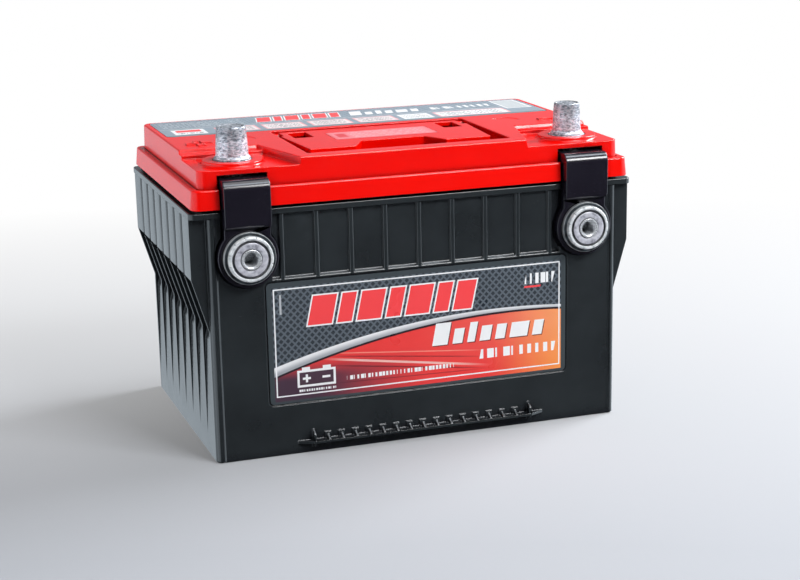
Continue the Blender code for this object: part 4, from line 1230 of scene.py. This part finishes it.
class Shader(Nodes):
    """The nodes of one new material."""

    def __init__(self, name):
        self.material = bpy.data.materials.new(name)
        self.material.use_nodes = True
        super().__init__(self.material.node_tree)
        self.surface = self.tree.nodes["Principled BSDF"]
        self.position = self.add("ShaderNodeTexCoord").outputs["Object"]

    def set(self, **inputs):
        """Set inputs of the surface; underscores stand for spaces."""
        for key, value in inputs.items():
            self.plug(self.surface.inputs[key.replace("_", " ")], value)

    def noise(self, size, detail=4.0, stretch=(1.0, 1.0, 1.0), distortion=0.0):
        """Noise with features of about size millimetres; stretch divides their size per axis."""
        scale = [factor / (size * MM) for factor in stretch]
        moved = self.add(
            "ShaderNodeVectorMath", {0: self.position, 1: scale}, operation="MULTIPLY").outputs[0]
        inputs = {"Vector": moved, "Scale": 1.0, "Detail": detail, "Distortion": distortion}
        return self.add("ShaderNodeTexNoise", inputs).outputs["Fac"]

    def bump(self, height, distance, normal=None):
        """Small relief, with distance in millimetres."""
        inputs = {"Height": height, "Distance": distance * MM, "Strength": 1.0}
        if normal is not None:
            inputs["Normal"] = normal
        return self.add("ShaderNodeBump", inputs).outputs["Normal"]

    def painted_hollow_shade(self, reach, depth):
        """Painted shade: white on open faces, down to depth in hollows narrower than about reach
        millimetres.
        """
        open_share = self.add("ShaderNodeAmbientOcclusion", {"Distance": reach * MM}, samples=8)
        return self.ramp(open_share.outputs["AO"], (0.2, depth), (0.88, 1.0))

    def edges(self, low, high):
        """0 on flat faces and 1 on sharp convex edges."""
        pointiness = self.add("ShaderNodeNewGeometry").outputs["Pointiness"]
        return self.ramp(pointiness, (low, 0.0), (high, 1.0))


# ---------------------------------------------------------------- plain materials

def moulded_plastic(
        name, colour, faded, roughness, grain, dust=0.0, coat=0.0, shadow=0.5, specular=0.5):
    """Injection-moulded plastic: fine grain, uneven gloss, paler convex edges in patches, light dust
    and painted shade in its hollows and corners.
    """
    s = Shader(name)
    blotches = s.noise(38.0, 5.0)
    colour_mix = s.mix(s.ramp(blotches, (0.35, 0.0), (0.75, 1.0)), colour, faded)
    pale_edges = s.times(s.edges(0.54, 0.64), s.ramp(s.noise(6.0), (0.4, 0.0), (0.7, 0.4)))
    pale = tuple(min(1.0, c * 1.4 + 0.006) for c in faded[:3]) + (1.0,)
    colour_mix = s.mix(pale_edges, colour_mix, pale)
    if dust:
        facing = s.parts(s.add("ShaderNodeNewGeometry").outputs["Normal"])
        up = s.ramp(facing[2], (0.6, 0.0), (1.0, dust))
        settled = s.times(up, s.ramp(s.noise(3.0, 8.0), (0.3, 0.2), (0.75, 1.0)))
        colour_mix = s.mix(settled, colour_mix, srgb(120, 122, 124))
    # Painted shade: hollows and corners are darkened down to the shadow value.
    colour_mix = s.multiply(colour_mix, s.painted_hollow_shade(9.0, shadow))
    gloss = s.ramp(s.noise(17.0, 6.0), (0.3, roughness * 0.85), (0.75, roughness * 1.2))
    scuffs = s.ramp(s.noise(2.2, 8.0, (1.0, 1.0, 5.0)), (0.58, 0.0), (0.85, 0.10))
    relief = s.bump(s.noise(0.6, 2.0), grain)
    relief = s.bump(s.noise(30.0, 1.0), grain * 8.0, relief)
    s.set(Base_Color=colour_mix, Roughness=s.math("ADD", gloss, scuffs), Normal=relief)
    s.set(Coat_Weight=coat, Coat_Roughness=0.14, Specular_IOR_Level=specular)
    return s.material


def cast_lead(name, dark, middle, light, size, relief_height, metallic, stretch):
    """Cast lead: mottled, with painted shade in its pits and folds, and darker on top."""
    s = Shader(name)
    mottle = s.noise(size, 10.0, stretch, 0.5)
    colour = s.ramp(mottle, (0.34, dark), (0.48, middle), (0.62, light))
    height = s.math("DIVIDE", s.parts(s.position)[2], POST_TOP * MM)
    colour = s.multiply(colour, s.ramp(height, (0.955, 1.0), (0.975, 0.62)))
    rough = s.ramp(s.noise(2.3, 8.0), (0.3, 0.22), (0.7, 0.5))
    pits = s.ramp(s.noise(1.4, 6.0), (0.32, 0.0), (0.5, 1.0))
    relief = s.bump(pits, relief_height * 0.3)
    relief = s.bump(s.noise(size * 1.2, 5.0, stretch), relief_height, relief)
    # Painted shade in the pits and folds.
    s.set(Base_Color=s.multiply(colour, s.painted_hollow_shade(2.5, 0.25)))
    s.set(Metallic=metallic, Roughness=rough, Normal=relief)
    return s.material


def terminal_lead(name):
    """Bright cast lead whose flange, outside the ring, is darker up to a paler line at its rim, which
    is a painted highlight; its groove gets painted shade.
    """
    s = Shader(name)
    place_at = s.parts(s.position)
    across = s.math("SUBTRACT", s.math("ABSOLUTE", place_at[0]), SIDE_X * MM)
    up = s.math("SUBTRACT", place_at[2], SIDE_Z * MM)
    squares = s.math("ADD", s.times(across, across), s.times(up, up))
    radius = s.math("DIVIDE", s.math("SQRT", squares), FLANGE_RADIUS * MM)
    mottle = s.noise(3.0, 8.0)
    face = s.ramp(
        mottle, (0.34, srgb(150, 151, 162)), (0.42, srgb(186, 187, 198)), (0.6, srgb(212, 213, 221)))
    ring = s.ramp(mottle, (0.34, srgb(196, 202, 206)), (0.6, srgb(236, 239, 241)))
    dark_flange_colour = s.ramp(mottle, (0.34, srgb(24, 29, 33)), (0.6, srgb(62, 70, 76)))
    step = GROOVE_OUTER / FLANGE_RADIUS
    colour = s.mix(s.ramp(radius, (step - 0.01, 0.0), (step, 1.0)), face, ring)
    edge = DISC_RADIUS / FLANGE_RADIUS
    # The flange is painted darker; the paler line at its rim is a painted highlight.
    flange_darkening_with_rim_highlight = s.ramp(radius, (edge, 0.0), (edge + 0.015, 1.0), (0.97, 1.0), (0.985, 0.6))
    colour = s.mix(flange_darkening_with_rim_highlight, colour, dark_flange_colour)
    # Painted shade darkens the face groove and other hollows.
    s.set(Base_Color=s.multiply(colour, s.painted_hollow_shade(2.4, 0.03)), Metallic=0.2)
    s.set(Roughness=s.ramp(s.noise(2.3, 8.0), (0.3, 0.25), (0.7, 0.45)))
    s.set(Normal=s.bump(s.noise(2.4, 5.0), 0.05))
    return s.material


def zinc_steel(name):
    s = Shader(name)
    streaks = s.noise(0.7, 5.0, (1.0, 6.0, 1.0))
    colour = s.ramp(streaks, (0.3, srgb(182, 185, 190)), (0.7, srgb(242, 244, 247)))
    # Painted shade down the threaded hole and other hollows.
    s.set(Base_Color=s.multiply(colour, s.painted_hollow_shade(4.0, 0.12)))
    s.set(Metallic=0.5, Roughness=s.ramp(streaks, (0.3, 0.2), (0.7, 0.38)))
    s.set(Normal=s.bump(streaks, 0.015))
    return s.material


def pasted_plate(name, dark, light):
    """Lead paste on a grid: rough, with faint ribs of the grid showing."""
    s = Shader(name)
    paste = s.noise(1.8, 8.0)
    spacing = 3.0 * MM
    wires = s.math("PINGPONG", s.parts(s.position)[2], spacing)
    grid = s.ramp(s.math("DIVIDE", wires, spacing), (0.0, 1.0), (0.16, 0.0))
    s.set(Base_Color=s.mix(grid, s.ramp(paste, (0.3, dark), (0.7, light)), srgb(120, 120, 125)))
    s.set(Roughness=0.86, Metallic=0.15, Normal=s.bump(s.math("ADD", paste, grid), 0.12))
    return s.material


def glass_fibre(name):
    s = Shader(name)
    fibres = s.noise(0.8, 10.0, (1.0, 3.0, 0.6), 1.5)
    s.set(Base_Color=s.ramp(fibres, (0.3, srgb(205, 205, 198)), (0.7, srgb(246, 246, 240))))
    s.set(Roughness=0.95, Normal=s.bump(fibres, 0.12), Sheen_Weight=0.3)
    return s.material


def rubber(name):
    s = Shader(name)
    bloom = s.noise(4.0, 7.0)
    s.set(Base_Color=s.ramp(bloom, (0.3, srgb(22, 22, 23)), (0.75, srgb(52, 52, 53))))
    s.set(Roughness=s.ramp(bloom, (0.3, 0.5), (0.75, 0.8)), Normal=s.bump(s.noise(0.5), 0.03))
    return s.material


def porous(name):
    s = Shader(name)
    beads = s.add("ShaderNodeTexVoronoi", {"Vector": s.position, "Scale": 1 / (0.6 * MM)})
    distance = beads.outputs["Distance"]
    s.set(Base_Color=s.ramp(distance, (0.1, srgb(236, 236, 230)), (0.7, srgb(150, 150, 146))))
    s.set(Roughness=0.9, Normal=s.bump(distance, -0.2))
    return s.material


# ---------------------------------------------------------------- printed films

class Print(Shader):
    """A printed film, drawn in millimetres across (u) and up (v) the film."""

    def __init__(self, name, up_axis, paper):
        super().__init__(name)
        place_at = self.parts(self.position)
        self.u = self.math("DIVIDE", place_at[0], MM)
        self.v = self.math("DIVIDE", place_at[up_axis], MM)
        self.colour = paper

    def paint(self, mask, colour):
        self.colour = self.mix(mask, self.colour, colour)

    def span(self, value, low, high):
        """1 where value is between low and high."""
        return self.math("COMPARE", value, (low + high) / 2, (high - low) / 2)

    def box(self, left, right, low, high, lean=0.0):
        """1 inside a box, which may lean to the right."""
        across = self.u
        if lean:
            across = self.math("MULTIPLY_ADD", self.v, -lean, self.u)
        inside = self.span(across, left - lean * low, right - lean * low)
        return self.times(inside, self.span(self.v, low, high))

    def boxes(self, colour, *boxes):
        """Boxes of (left, right, low, high), with a lean as a fifth number where they have one."""
        for box in boxes:
            self.paint(self.box(*box), colour)

    def rimmed_bars(self, left, widths, gap, low, high, lean, rim):
        """A row of leaning red bars with white rims."""
        bars = []
        for width in widths:
            bars.append((left, left + width, low, high, lean))
            left += width + gap
        shift = lean * rim
        for start, end, _, _, _ in bars:
            self.boxes(WHITE, (start - rim - shift, end + rim - shift, low - rim, high + rim, lean))
        self.boxes(PRINT_RED, *bars)

    def white_bars(self, left, bars, gap, low, lean, shadow=None):
        """A row of leaning white bars of (width, top), over a shadow where it has a colour."""
        for width, top in bars:
            if shadow:
                self.boxes(shadow, (left + 0.5, left + width + 0.5, low - 0.6, top - 0.6, lean))
            self.boxes(WHITE, (left, left + width, low, top, lean))
            left += width + gap

    def dashes(self, left, right, low, high, pitch, colour, seed=0.0, lean=0.0):
        """A row of short strokes of uneven length, in place of fine print."""
        place_at = self.math("DIVIDE", self.u, pitch)
        cell = self.math("ADD", self.math("FLOOR", place_at), seed)
        node = self.add("ShaderNodeTexWhiteNoise", {"W": cell}, noise_dimensions="1D")
        length = self.math("MULTIPLY_ADD", node.outputs["Value"], 0.75, 0.2)
        stroke = self.math("LESS_THAN", self.math("FRACT", place_at), length)
        self.paint(self.times(stroke, self.box(left, right, low, high, lean)), colour)

    def lines_of_dashes(self, count, step, left, right, low, high, pitch, colour, seed):
        """Rows of dashes, one above the other."""
        for row in range(count):
            rise = step * row
            self.dashes(left, right, low + rise, high + rise, pitch, colour, seed + row)

    def dots(self, pitch, row, size, mask, colour):
        """A staggered grid of diamonds."""
        for shift in (0.0, 0.5):
            reach = []
            for value, spacing in ((self.u, pitch), (self.v, 2 * row)):
                place_at = self.math("ADD", self.math("DIVIDE", value, spacing), shift)
                offset = self.math("SUBTRACT", self.math("FRACT", place_at), 0.5)
                reach.append(self.times(self.math("ABSOLUTE", offset), spacing))
            near = self.math("LESS_THAN", self.math("ADD", *reach), size)
            self.paint(self.times(near, mask), colour)

    def finish(self, roughness=0.3, coat=0.3):
        tint = self.ramp(self.noise(16.0, 3.0), (0.3, 0.96), (0.7, 1.0))
        gloss = self.ramp(self.noise(30.0, 2.0), (0.3, roughness * 0.9), (0.75, roughness * 1.15))
        relief = self.bump(self.noise(0.5, 2.0), 0.002)
        self.set(Base_Color=self.multiply(self.colour, tint), Roughness=gloss, Normal=relief)
        self.set(Coat_Weight=coat, Coat_Roughness=0.15)
        return self.material


WHITE = srgb(245, 246, 248)
PRINT_RED = srgb(255, 72, 76)
PALE_RED = srgb(246, 176, 180)


def front_label_print():
    """Slate field over a warm field, parted by a silver swoosh; plain bars stand for words."""
    p = Print("front_label_film", 2, srgb(66, 74, 79))
    field = p.box(-93.0, 93.0, 34.2, 104.4)
    crest_u, crest_v, bend = 57.0, 76.4, -0.00106
    from_crest = p.math("SUBTRACT", p.u, crest_u)
    drop = p.times(p.times(from_crest, from_crest), bend)
    above = p.math("SUBTRACT", p.v, p.math("ADD", drop, crest_v))
    p.paint(field, srgb(98, 107, 116))
    p.dots(4.3, 2.3, 1.45, field, srgb(48, 54, 62))
    paint_warm_field(p, field, above)
    paint_streaks(p, field)
    paint_swoosh(p, field, above)
    p.rimmed_bars(-71.5, (15.0, 9.0, 15.0, 9.0, 15.0, 9.0, 12.0), 3.4, 79.6, 97.4, 0.22, 0.9)
    bars = ((10.0, 72.0), (6.5, 67.5), (5.0, 70.5), (7.0, 67.5), (6.5, 67.5), (12.0, 67.5), (6.5, 67.5))
    p.white_bars(7.0, bars, 3.2, 58.0, 0.2, srgb(96, 30, 34))
    paint_pictogram(p)
    p.dashes(-48.0, 21.0, 43.0, 45.6, 2.3, WHITE, 4.0)
    p.dashes(38.0, 88.0, 46.4, 52.4, 5.4, WHITE, 9.0, 0.2)
    p.dashes(68.0, 87.0, 91.0, 97.6, 3.6, WHITE, 21.0, 0.25)
    p.boxes(PRINT_RED, (68.0, 79.0, 88.6, 89.8, 0.25))
    p.boxes(srgb(190, 194, 198), (-88.4, -87.2, 88.0, 100.0))
    outer = p.box(-92.1, 92.1, 36.8, 103.6)
    p.paint(p.math("SUBTRACT", outer, p.box(-91.3, 91.3, 37.6, 102.8)), WHITE)
    return p.finish()


def paint_warm_field(p, field, above):
    """Red to orange below the swoosh, with a glow to the right and a gloom in the left corner."""
    warm = p.mix(p.fade(p.u, 40.0, 104.0), srgb(242, 62, 60), srgb(255, 158, 78))
    glow = p.times(p.fade(p.v, 36.0, 70.0), p.fade(p.u, -20.0, 90.0))
    warm = p.mix(p.times(glow, 0.2), warm, srgb(255, 190, 160))
    gloom = p.times(p.fade(p.u, 14.0, -70.0), p.fade(p.v, 60.0, 46.0))
    warm = p.mix(gloom, warm, srgb(78, 56, 72))
    p.paint(p.times(field, p.math("LESS_THAN", above, 0.0)), warm)


def paint_streaks(p, field):
    """Pale and dark rays that fall to the right across the warm field."""
    for start, slope, half, colour, strength in (
            (48.5, -0.149, 0.7, srgb(250, 205, 196), 0.8),
            (45.6, -0.130, 0.45, srgb(84, 34, 44), 0.7),
            (52.4, -0.115, 0.4, srgb(96, 34, 40), 0.6),
            (55.6, -0.09, 0.35, srgb(252, 190, 170), 0.45),
            (40.6, -0.02, 0.3, srgb(70, 30, 42), 0.5)):
        height = p.math("MULTIPLY_ADD", p.u, slope, start)
        near = p.within(p.math("SUBTRACT", p.v, height), half)
        ends = p.times(p.fade(p.u, -66.0, -40.0), p.fade(p.u, 48.0, 16.0))
        p.paint(p.times(field, p.times(p.times(near, ends), strength)), colour)


def paint_swoosh(p, field, above):
    """A silver band along the crest line, wider to the left, with a dark line under it."""
    leftwards = p.math("DIVIDE", p.math("SUBTRACT", 92.0, p.u), 184.0)
    widening = p.math("POWER", p.math("MAXIMUM", leftwards, 0.0), 1.3)
    half = p.math("MULTIPLY_ADD", widening, 2.05, 0.85)
    dark_line = p.within(p.math("ADD", above, 0.8), p.math("ADD", half, 0.5))
    p.paint(p.times(field, dark_line), srgb(44, 34, 42))
    sheen = p.mix(p.fade(above, -2.0, 2.0), srgb(168, 172, 178), srgb(240, 241, 243))
    p.paint(p.times(field, p.within(above, half)), sheen)


def paint_pictogram(p):
    """A small battery sign: a body with two stubs, a plus and a minus."""
    p.boxes(WHITE, (-79.0, -55.0, 41.6, 52.2), (-76.0, -71.0, 52.2, 54.0), (-63.0, -58.0, 52.2, 54.0))
    p.boxes(srgb(80, 58, 72), (-77.6, -56.4, 43.0, 50.8))
    p.boxes(WHITE, (-75.6, -70.6, 46.2, 47.6), (-73.8, -72.4, 44.4, 49.4), (-63.4, -58.4, 46.2, 47.6))
    p.dashes(-79.0, -55.0, 38.8, 40.2, 1.5, WHITE, 2.0)


def top_label_print():
    """Two slate bands of plain blocks and strokes along the cover."""
    p = Print("top_label_film", 1, srgb(146, 160, 173))
    p.boxes(srgb(205, 210, 214), (-128.6, 128.6, 47.6, 48.6))
    p.dots(5.0, 2.6, 0.9, p.box(-128.6, 128.6, 49.0, 79.0), srgb(92, 103, 113))
    p.boxes(srgb(108, 134, 140), (-128.6, 128.6, 19.0, 22.4))
    p.rimmed_bars(-62.0, (9.0, 5.0, 9.0, 5.0, 9.0, 6.0), 2.6, 54.0, 72.0, 0.2, 0.8)
    bars = ((8.0, 71.0), (5.0, 66.0), (4.0, 69.0), (5.0, 66.0), (8.0, 66.0), (5.0, 66.0))
    p.white_bars(2.0, bars, 2.6, 55.0, 0.2)
    p.dashes(60.0, 102.0, 57.0, 66.0, 5.0, WHITE, 5.0, 0.1)
    p.lines_of_dashes(4, 5.0, -124.0, -70.0, 54.0, 55.4, 2.6, srgb(214, 220, 224), 7.0)
    p.boxes(WHITE, (-122.0, -101.0, 25.0, 44.0))
    p.boxes(PRINT_RED, (-119.5, -103.5, 34.0, 41.5))
    p.dashes(-119.5, -103.5, 28.0, 30.4, 2.0, srgb(70, 74, 80), 3.0)
    for left in (-94.0, -63.0, -32.0, -1.0):
        p.boxes(PALE_RED, (left, left + 27.0, 25.0, 44.0))
        p.boxes(srgb(236, 226, 228), (left + 1.2, left + 25.8, 26.2, 42.8))
        p.lines_of_dashes(3, 4.6, left + 3.0, left + 24.0, 29.0, 30.6, 1.9, srgb(84, 90, 98), left)
    p.boxes(WHITE, (30.0, 51.0, 25.0, 44.0))
    p.lines_of_dashes(4, 4.0, 32.0, 49.0, 27.4, 28.8, 1.8, srgb(90, 96, 104), 31.0)
    p.boxes(PALE_RED, (55.0, 105.0, 25.0, 44.0))
    p.boxes(WHITE, (56.4, 103.6, 26.4, 42.6))
    p.lines_of_dashes(3, 4.6, 59.0, 101.0, 29.0, 30.8, 2.8, srgb(96, 102, 110), 51.0)
    p.boxes(WHITE, (108.0, 126.0, 40.0, 75.0))
    p.boxes(srgb(196, 202, 206), (109.2, 124.8, 41.2, 73.8))
    return p.finish(0.32, 0.2)


def handle_label_print():
    """A pale red film with four rows of strokes and a plain block."""
    p = Print("handle_label_film", 1, srgb(236, 112, 120))
    p.boxes(srgb(238, 132, 140), (-31.4, 31.4, -27.2, -3.8))
    p.lines_of_dashes(4, 5.2, -20.0, 28.0, -24.6, -22.8, 3.0, srgb(248, 190, 196), 13.0)
    p.boxes(srgb(222, 62, 70), (-29.4, -23.0, -22.0, -9.0))
    return p.finish(0.3, 0.2)


# ---------------------------------------------------------------- carried-over CAD nodes

def dress(node, material, round_edges=0.0):
    """Give a CAD node its material, and slightly round its edges when it is solid metal."""
    obj = frame["nodes"][node]
    obj.data.materials.clear()
    obj.data.materials.append(material)
    if round_edges:
        modifier = obj.modifiers.new("soften", "BEVEL")
        modifier.width = round_edges * MM
        modifier.segments = 2
        modifier.limit_method = "ANGLE"
        modifier.angle_limit = math.radians(SOFT_ANGLE)


def dress_inside(lead, black_lid):
    """Materials of the parts under the cover and inside the cells."""
    positive = pasted_plate("positive_paste", srgb(70, 36, 26), srgb(112, 60, 42))
    negative = pasted_plate("negative_paste", srgb(96, 98, 102), srgb(146, 148, 152))
    fibre = glass_fibre("glass_fibre_mat")
    cap = rubber("valve_rubber")
    disc = porous("porous_disc")
    for index in range(1, CELLS + 1):
        dress("positive_plate_group_%d" % index, positive)
        dress("negative_plate_group_%d" % index, negative)
        dress("glass_mat_%d" % index, fibre)
        dress("relief_valve_%d" % index, cap, 0.3)
    for index in range(1, CELLS):
        dress("cell_weld_%d" % index, lead, 0.2)
    for side in ("left", "right"):
        dress(side + "_flame_arrestor", disc, 0.2)
    for polarity in POLARITIES:
        dress(polarity + "_post_pillar", lead, 0.3)
        dress(polarity + "_side_bar", lead, 0.3)
    dress("inner_lid", black_lid, 0.3)


# ---------------------------------------------------------------- stage

CAMERA_AZIMUTH = -19.726
CAMERA_ELEVATION = 15.666
CAMERA_ROLL = -0.871
CAMERA_DISTANCE = 1.1871
CAMERA_TARGET = (0.03825, 0.0, 0.04152)
CAMERA_FILM = 36.0
CAMERA_LENS = 80.4636
CAMERA_SHIFT = (-0.041875, 0.0530875)

FLOOR_COLOUR = (0.395, 0.413, 0.447, 1.0)
FLOOR_HALF = 8.0
FLOOR_THICKNESS = 0.02
FLOOR_NEAR = 0.95
FLOOR_FAR = 1.84

REAR_HEIGHTS = (-0.1, 0.2)
REAR_LOW = 0.72
REAR_HIGH = 0.25
REAR_SPAN = (0.45, 0.9)
FRONT_GLOW = 0.04
SIDE_SPAN = (0.6, 0.85)
SIDE_GLOW = 1.2
AMBIENT = 0.13
AMBIENT_TINT = (0.97, 0.985, 1.0, 1.0)
REFLECTED_TINT = (0.80, 0.91, 1.0, 1.0)
LIGHT_TARGET = (0.0, 0.0, 0.1)
STRIP_TINT = (0.78, 0.9, 1.0)


def make_camera():
    data = bpy.data.cameras.new("camera")
    data.sensor_width = CAMERA_FILM
    data.lens = CAMERA_LENS
    data.shift_x, data.shift_y = CAMERA_SHIFT
    data.clip_start = 0.05
    data.clip_end = 50.0
    camera = bpy.data.objects.new("camera", data)
    bpy.context.scene.collection.objects.link(camera)
    azimuth, elevation = math.radians(CAMERA_AZIMUTH), math.radians(CAMERA_ELEVATION)
    back = Vector((
        math.sin(azimuth) * math.cos(elevation),
        -math.cos(azimuth) * math.cos(elevation),
        math.sin(elevation)))
    right = Vector((math.cos(azimuth), math.sin(azimuth), 0.0))
    up = back.cross(right)
    roll = math.radians(CAMERA_ROLL)
    rolled_right = right * math.cos(roll) + up * math.sin(roll)
    rolled_up = up * math.cos(roll) - right * math.sin(roll)
    place_at = Vector(CAMERA_TARGET) + back * CAMERA_DISTANCE
    columns = Matrix((rolled_right, rolled_up, back)).transposed().to_4x4()
    camera.matrix_world = Matrix.Translation(place_at) @ columns
    bpy.context.scene.camera = camera


def make_floor():
    """A pale floor that fades to white with distance from the camera."""
    span = (-FLOOR_HALF, FLOOR_HALF)
    floor = solid("floor", lambda bm: add_box(bm, span, span, (-FLOOR_THICKNESS, 0.0)))
    s = Shader("floor_paint")
    distance = s.add("ShaderNodeCameraData").outputs["View Distance"]
    far = s.fade(distance, FLOOR_NEAR, FLOOR_FAR, interpolation="LINEAR")
    diffuse = s.add("ShaderNodeBsdfDiffuse", {"Color": FLOOR_COLOUR})
    white = s.add("ShaderNodeEmission", {"Color": (1.0, 1.0, 1.0, 1.0), "Strength": 1.0})
    blend = s.add("ShaderNodeMixShader", {0: far, 1: diffuse.outputs[0], 2: white.outputs[0]})
    s.plug(s.tree.nodes["Material Output"].inputs["Surface"], blend.outputs[0])
    floor.data.materials.append(s.material)
    floor.visible_glossy = False


def make_world():
    """White behind the object.

    Reflections are bright low in the rear, dim high in the rear and dark from the front, so
    ends shine while the front and the top keep their colour.  A glow from both sides draws
    thin bright lines down the upright edges.
    """
    world = bpy.data.worlds.new("studio")
    bpy.context.scene.world = world
    world.use_nodes = True
    sky = Nodes(world.node_tree)
    direction = sky.parts(sky.add("ShaderNodeTexCoord").outputs["Generated"])
    low = sky.fade(direction[2], *REAR_HEIGHTS, REAR_LOW, REAR_HIGH)
    rear = sky.fade(direction[1], *REAR_SPAN, FRONT_GLOW, low)
    sides = sky.fade(sky.math("ABSOLUTE", direction[0]), *SIDE_SPAN, 0.0, SIDE_GLOW)
    ray = sky.add("ShaderNodeLightPath").outputs
    mirrored_light = sky.math("ADD", rear, sides)
    lighting = sky.between(ray["Is Glossy Ray"], AMBIENT, mirrored_light)
    strength = sky.between(ray["Is Camera Ray"], lighting, 1.0)
    background = sky.tree.nodes["Background"].inputs
    sky.plug(background["Strength"], strength)
    sky.plug(background["Color"], sky.mix(ray["Is Glossy Ray"], AMBIENT_TINT, REFLECTED_TINT))


def add_light(name, location, size, power, tint=(1.0, 1.0, 1.0), diffuse=True, mirrored=True):
    """A soft lamp that shines at the middle of the battery."""
    data = bpy.data.lights.new(name, "AREA")
    data.shape = "RECTANGLE"
    data.size, data.size_y = size
    data.energy = power
    data.color = tint
    light = bpy.data.objects.new(name, data)
    bpy.context.scene.collection.objects.link(light)
    light.location = location
    aim = Vector(LIGHT_TARGET) - Vector(location)
    light.rotation_euler = aim.to_track_quat("-Z", "Y").to_euler()
    light.visible_diffuse = diffuse
    light.visible_glossy = mirrored


def make_lights():
    add_light("key", (0.75, -1.35, 1.3), (0.9, 0.5), 30.0)
    add_light("top", (0.3, -0.25, 1.7), (1.5, 0.9), 10.0)
    add_light("right", (1.25, 0.25, 0.95), (0.7, 0.7), 32.0)
    add_light("left", (-1.8, 0.15, 0.16), (0.8, 0.24), 17.0, mirrored=False)
    add_light("edge_strip", (0.5, -0.45, 1.6), (1.8, 0.26), 9.0, STRIP_TINT, diffuse=False)


# ---------------------------------------------------------------- assembly

def main():
    black = moulded_plastic(
        "case_plastic", srgb(36, 40, 43), srgb(46, 51, 54), roughness=0.20, grain=0.006, dust=0.03,
        coat=0.5, shadow=(0.26, 0.21, 0.32, 1.0))
    strap_black = moulded_plastic(
        "strap_plastic", srgb(24, 21, 32), srgb(31, 28, 39), roughness=0.22, grain=0.004,
        coat=0.45, shadow=0.4)
    lid_black = moulded_plastic(
        "lid_plastic", srgb(52, 56, 58), srgb(66, 70, 72), roughness=0.2, grain=0.008, dust=0.03)
    red = moulded_plastic(
        "cover_plastic", srgb(242, 6, 0), srgb(247, 10, 0), roughness=0.18, grain=0.004,
        coat=0.2, shadow=0.28, specular=0.34)
    lead = cast_lead(
        "post_lead", srgb(112, 119, 128), srgb(184, 191, 203), srgb(234, 238, 247),
        size=2.2, relief_height=0.07, metallic=0.35, stretch=(1.0, 1.0, 2.4))
    disc_lead = terminal_lead("disc_lead")
    steel = zinc_steel("insert_zinc")
    make_case(black)
    make_cover(red)
    make_handle(red)
    for polarity in POLARITIES:
        make_post(polarity, lead)
        make_strap_cover(polarity, strap_black)
        make_side_terminal(polarity, disc_lead)
        make_thread_insert(polarity, steel)
    dress_inside(lead, lid_black)
    dress("front_label", front_label_print(), 0.1)
    dress("top_label", top_label_print(), 0.1)
    dress("handle_label", handle_label_print(), 0.1)
    make_camera()
    make_floor()
    make_world()
    make_lights()
    bpy.context.scene.view_settings.view_transform = "Standard"


main()
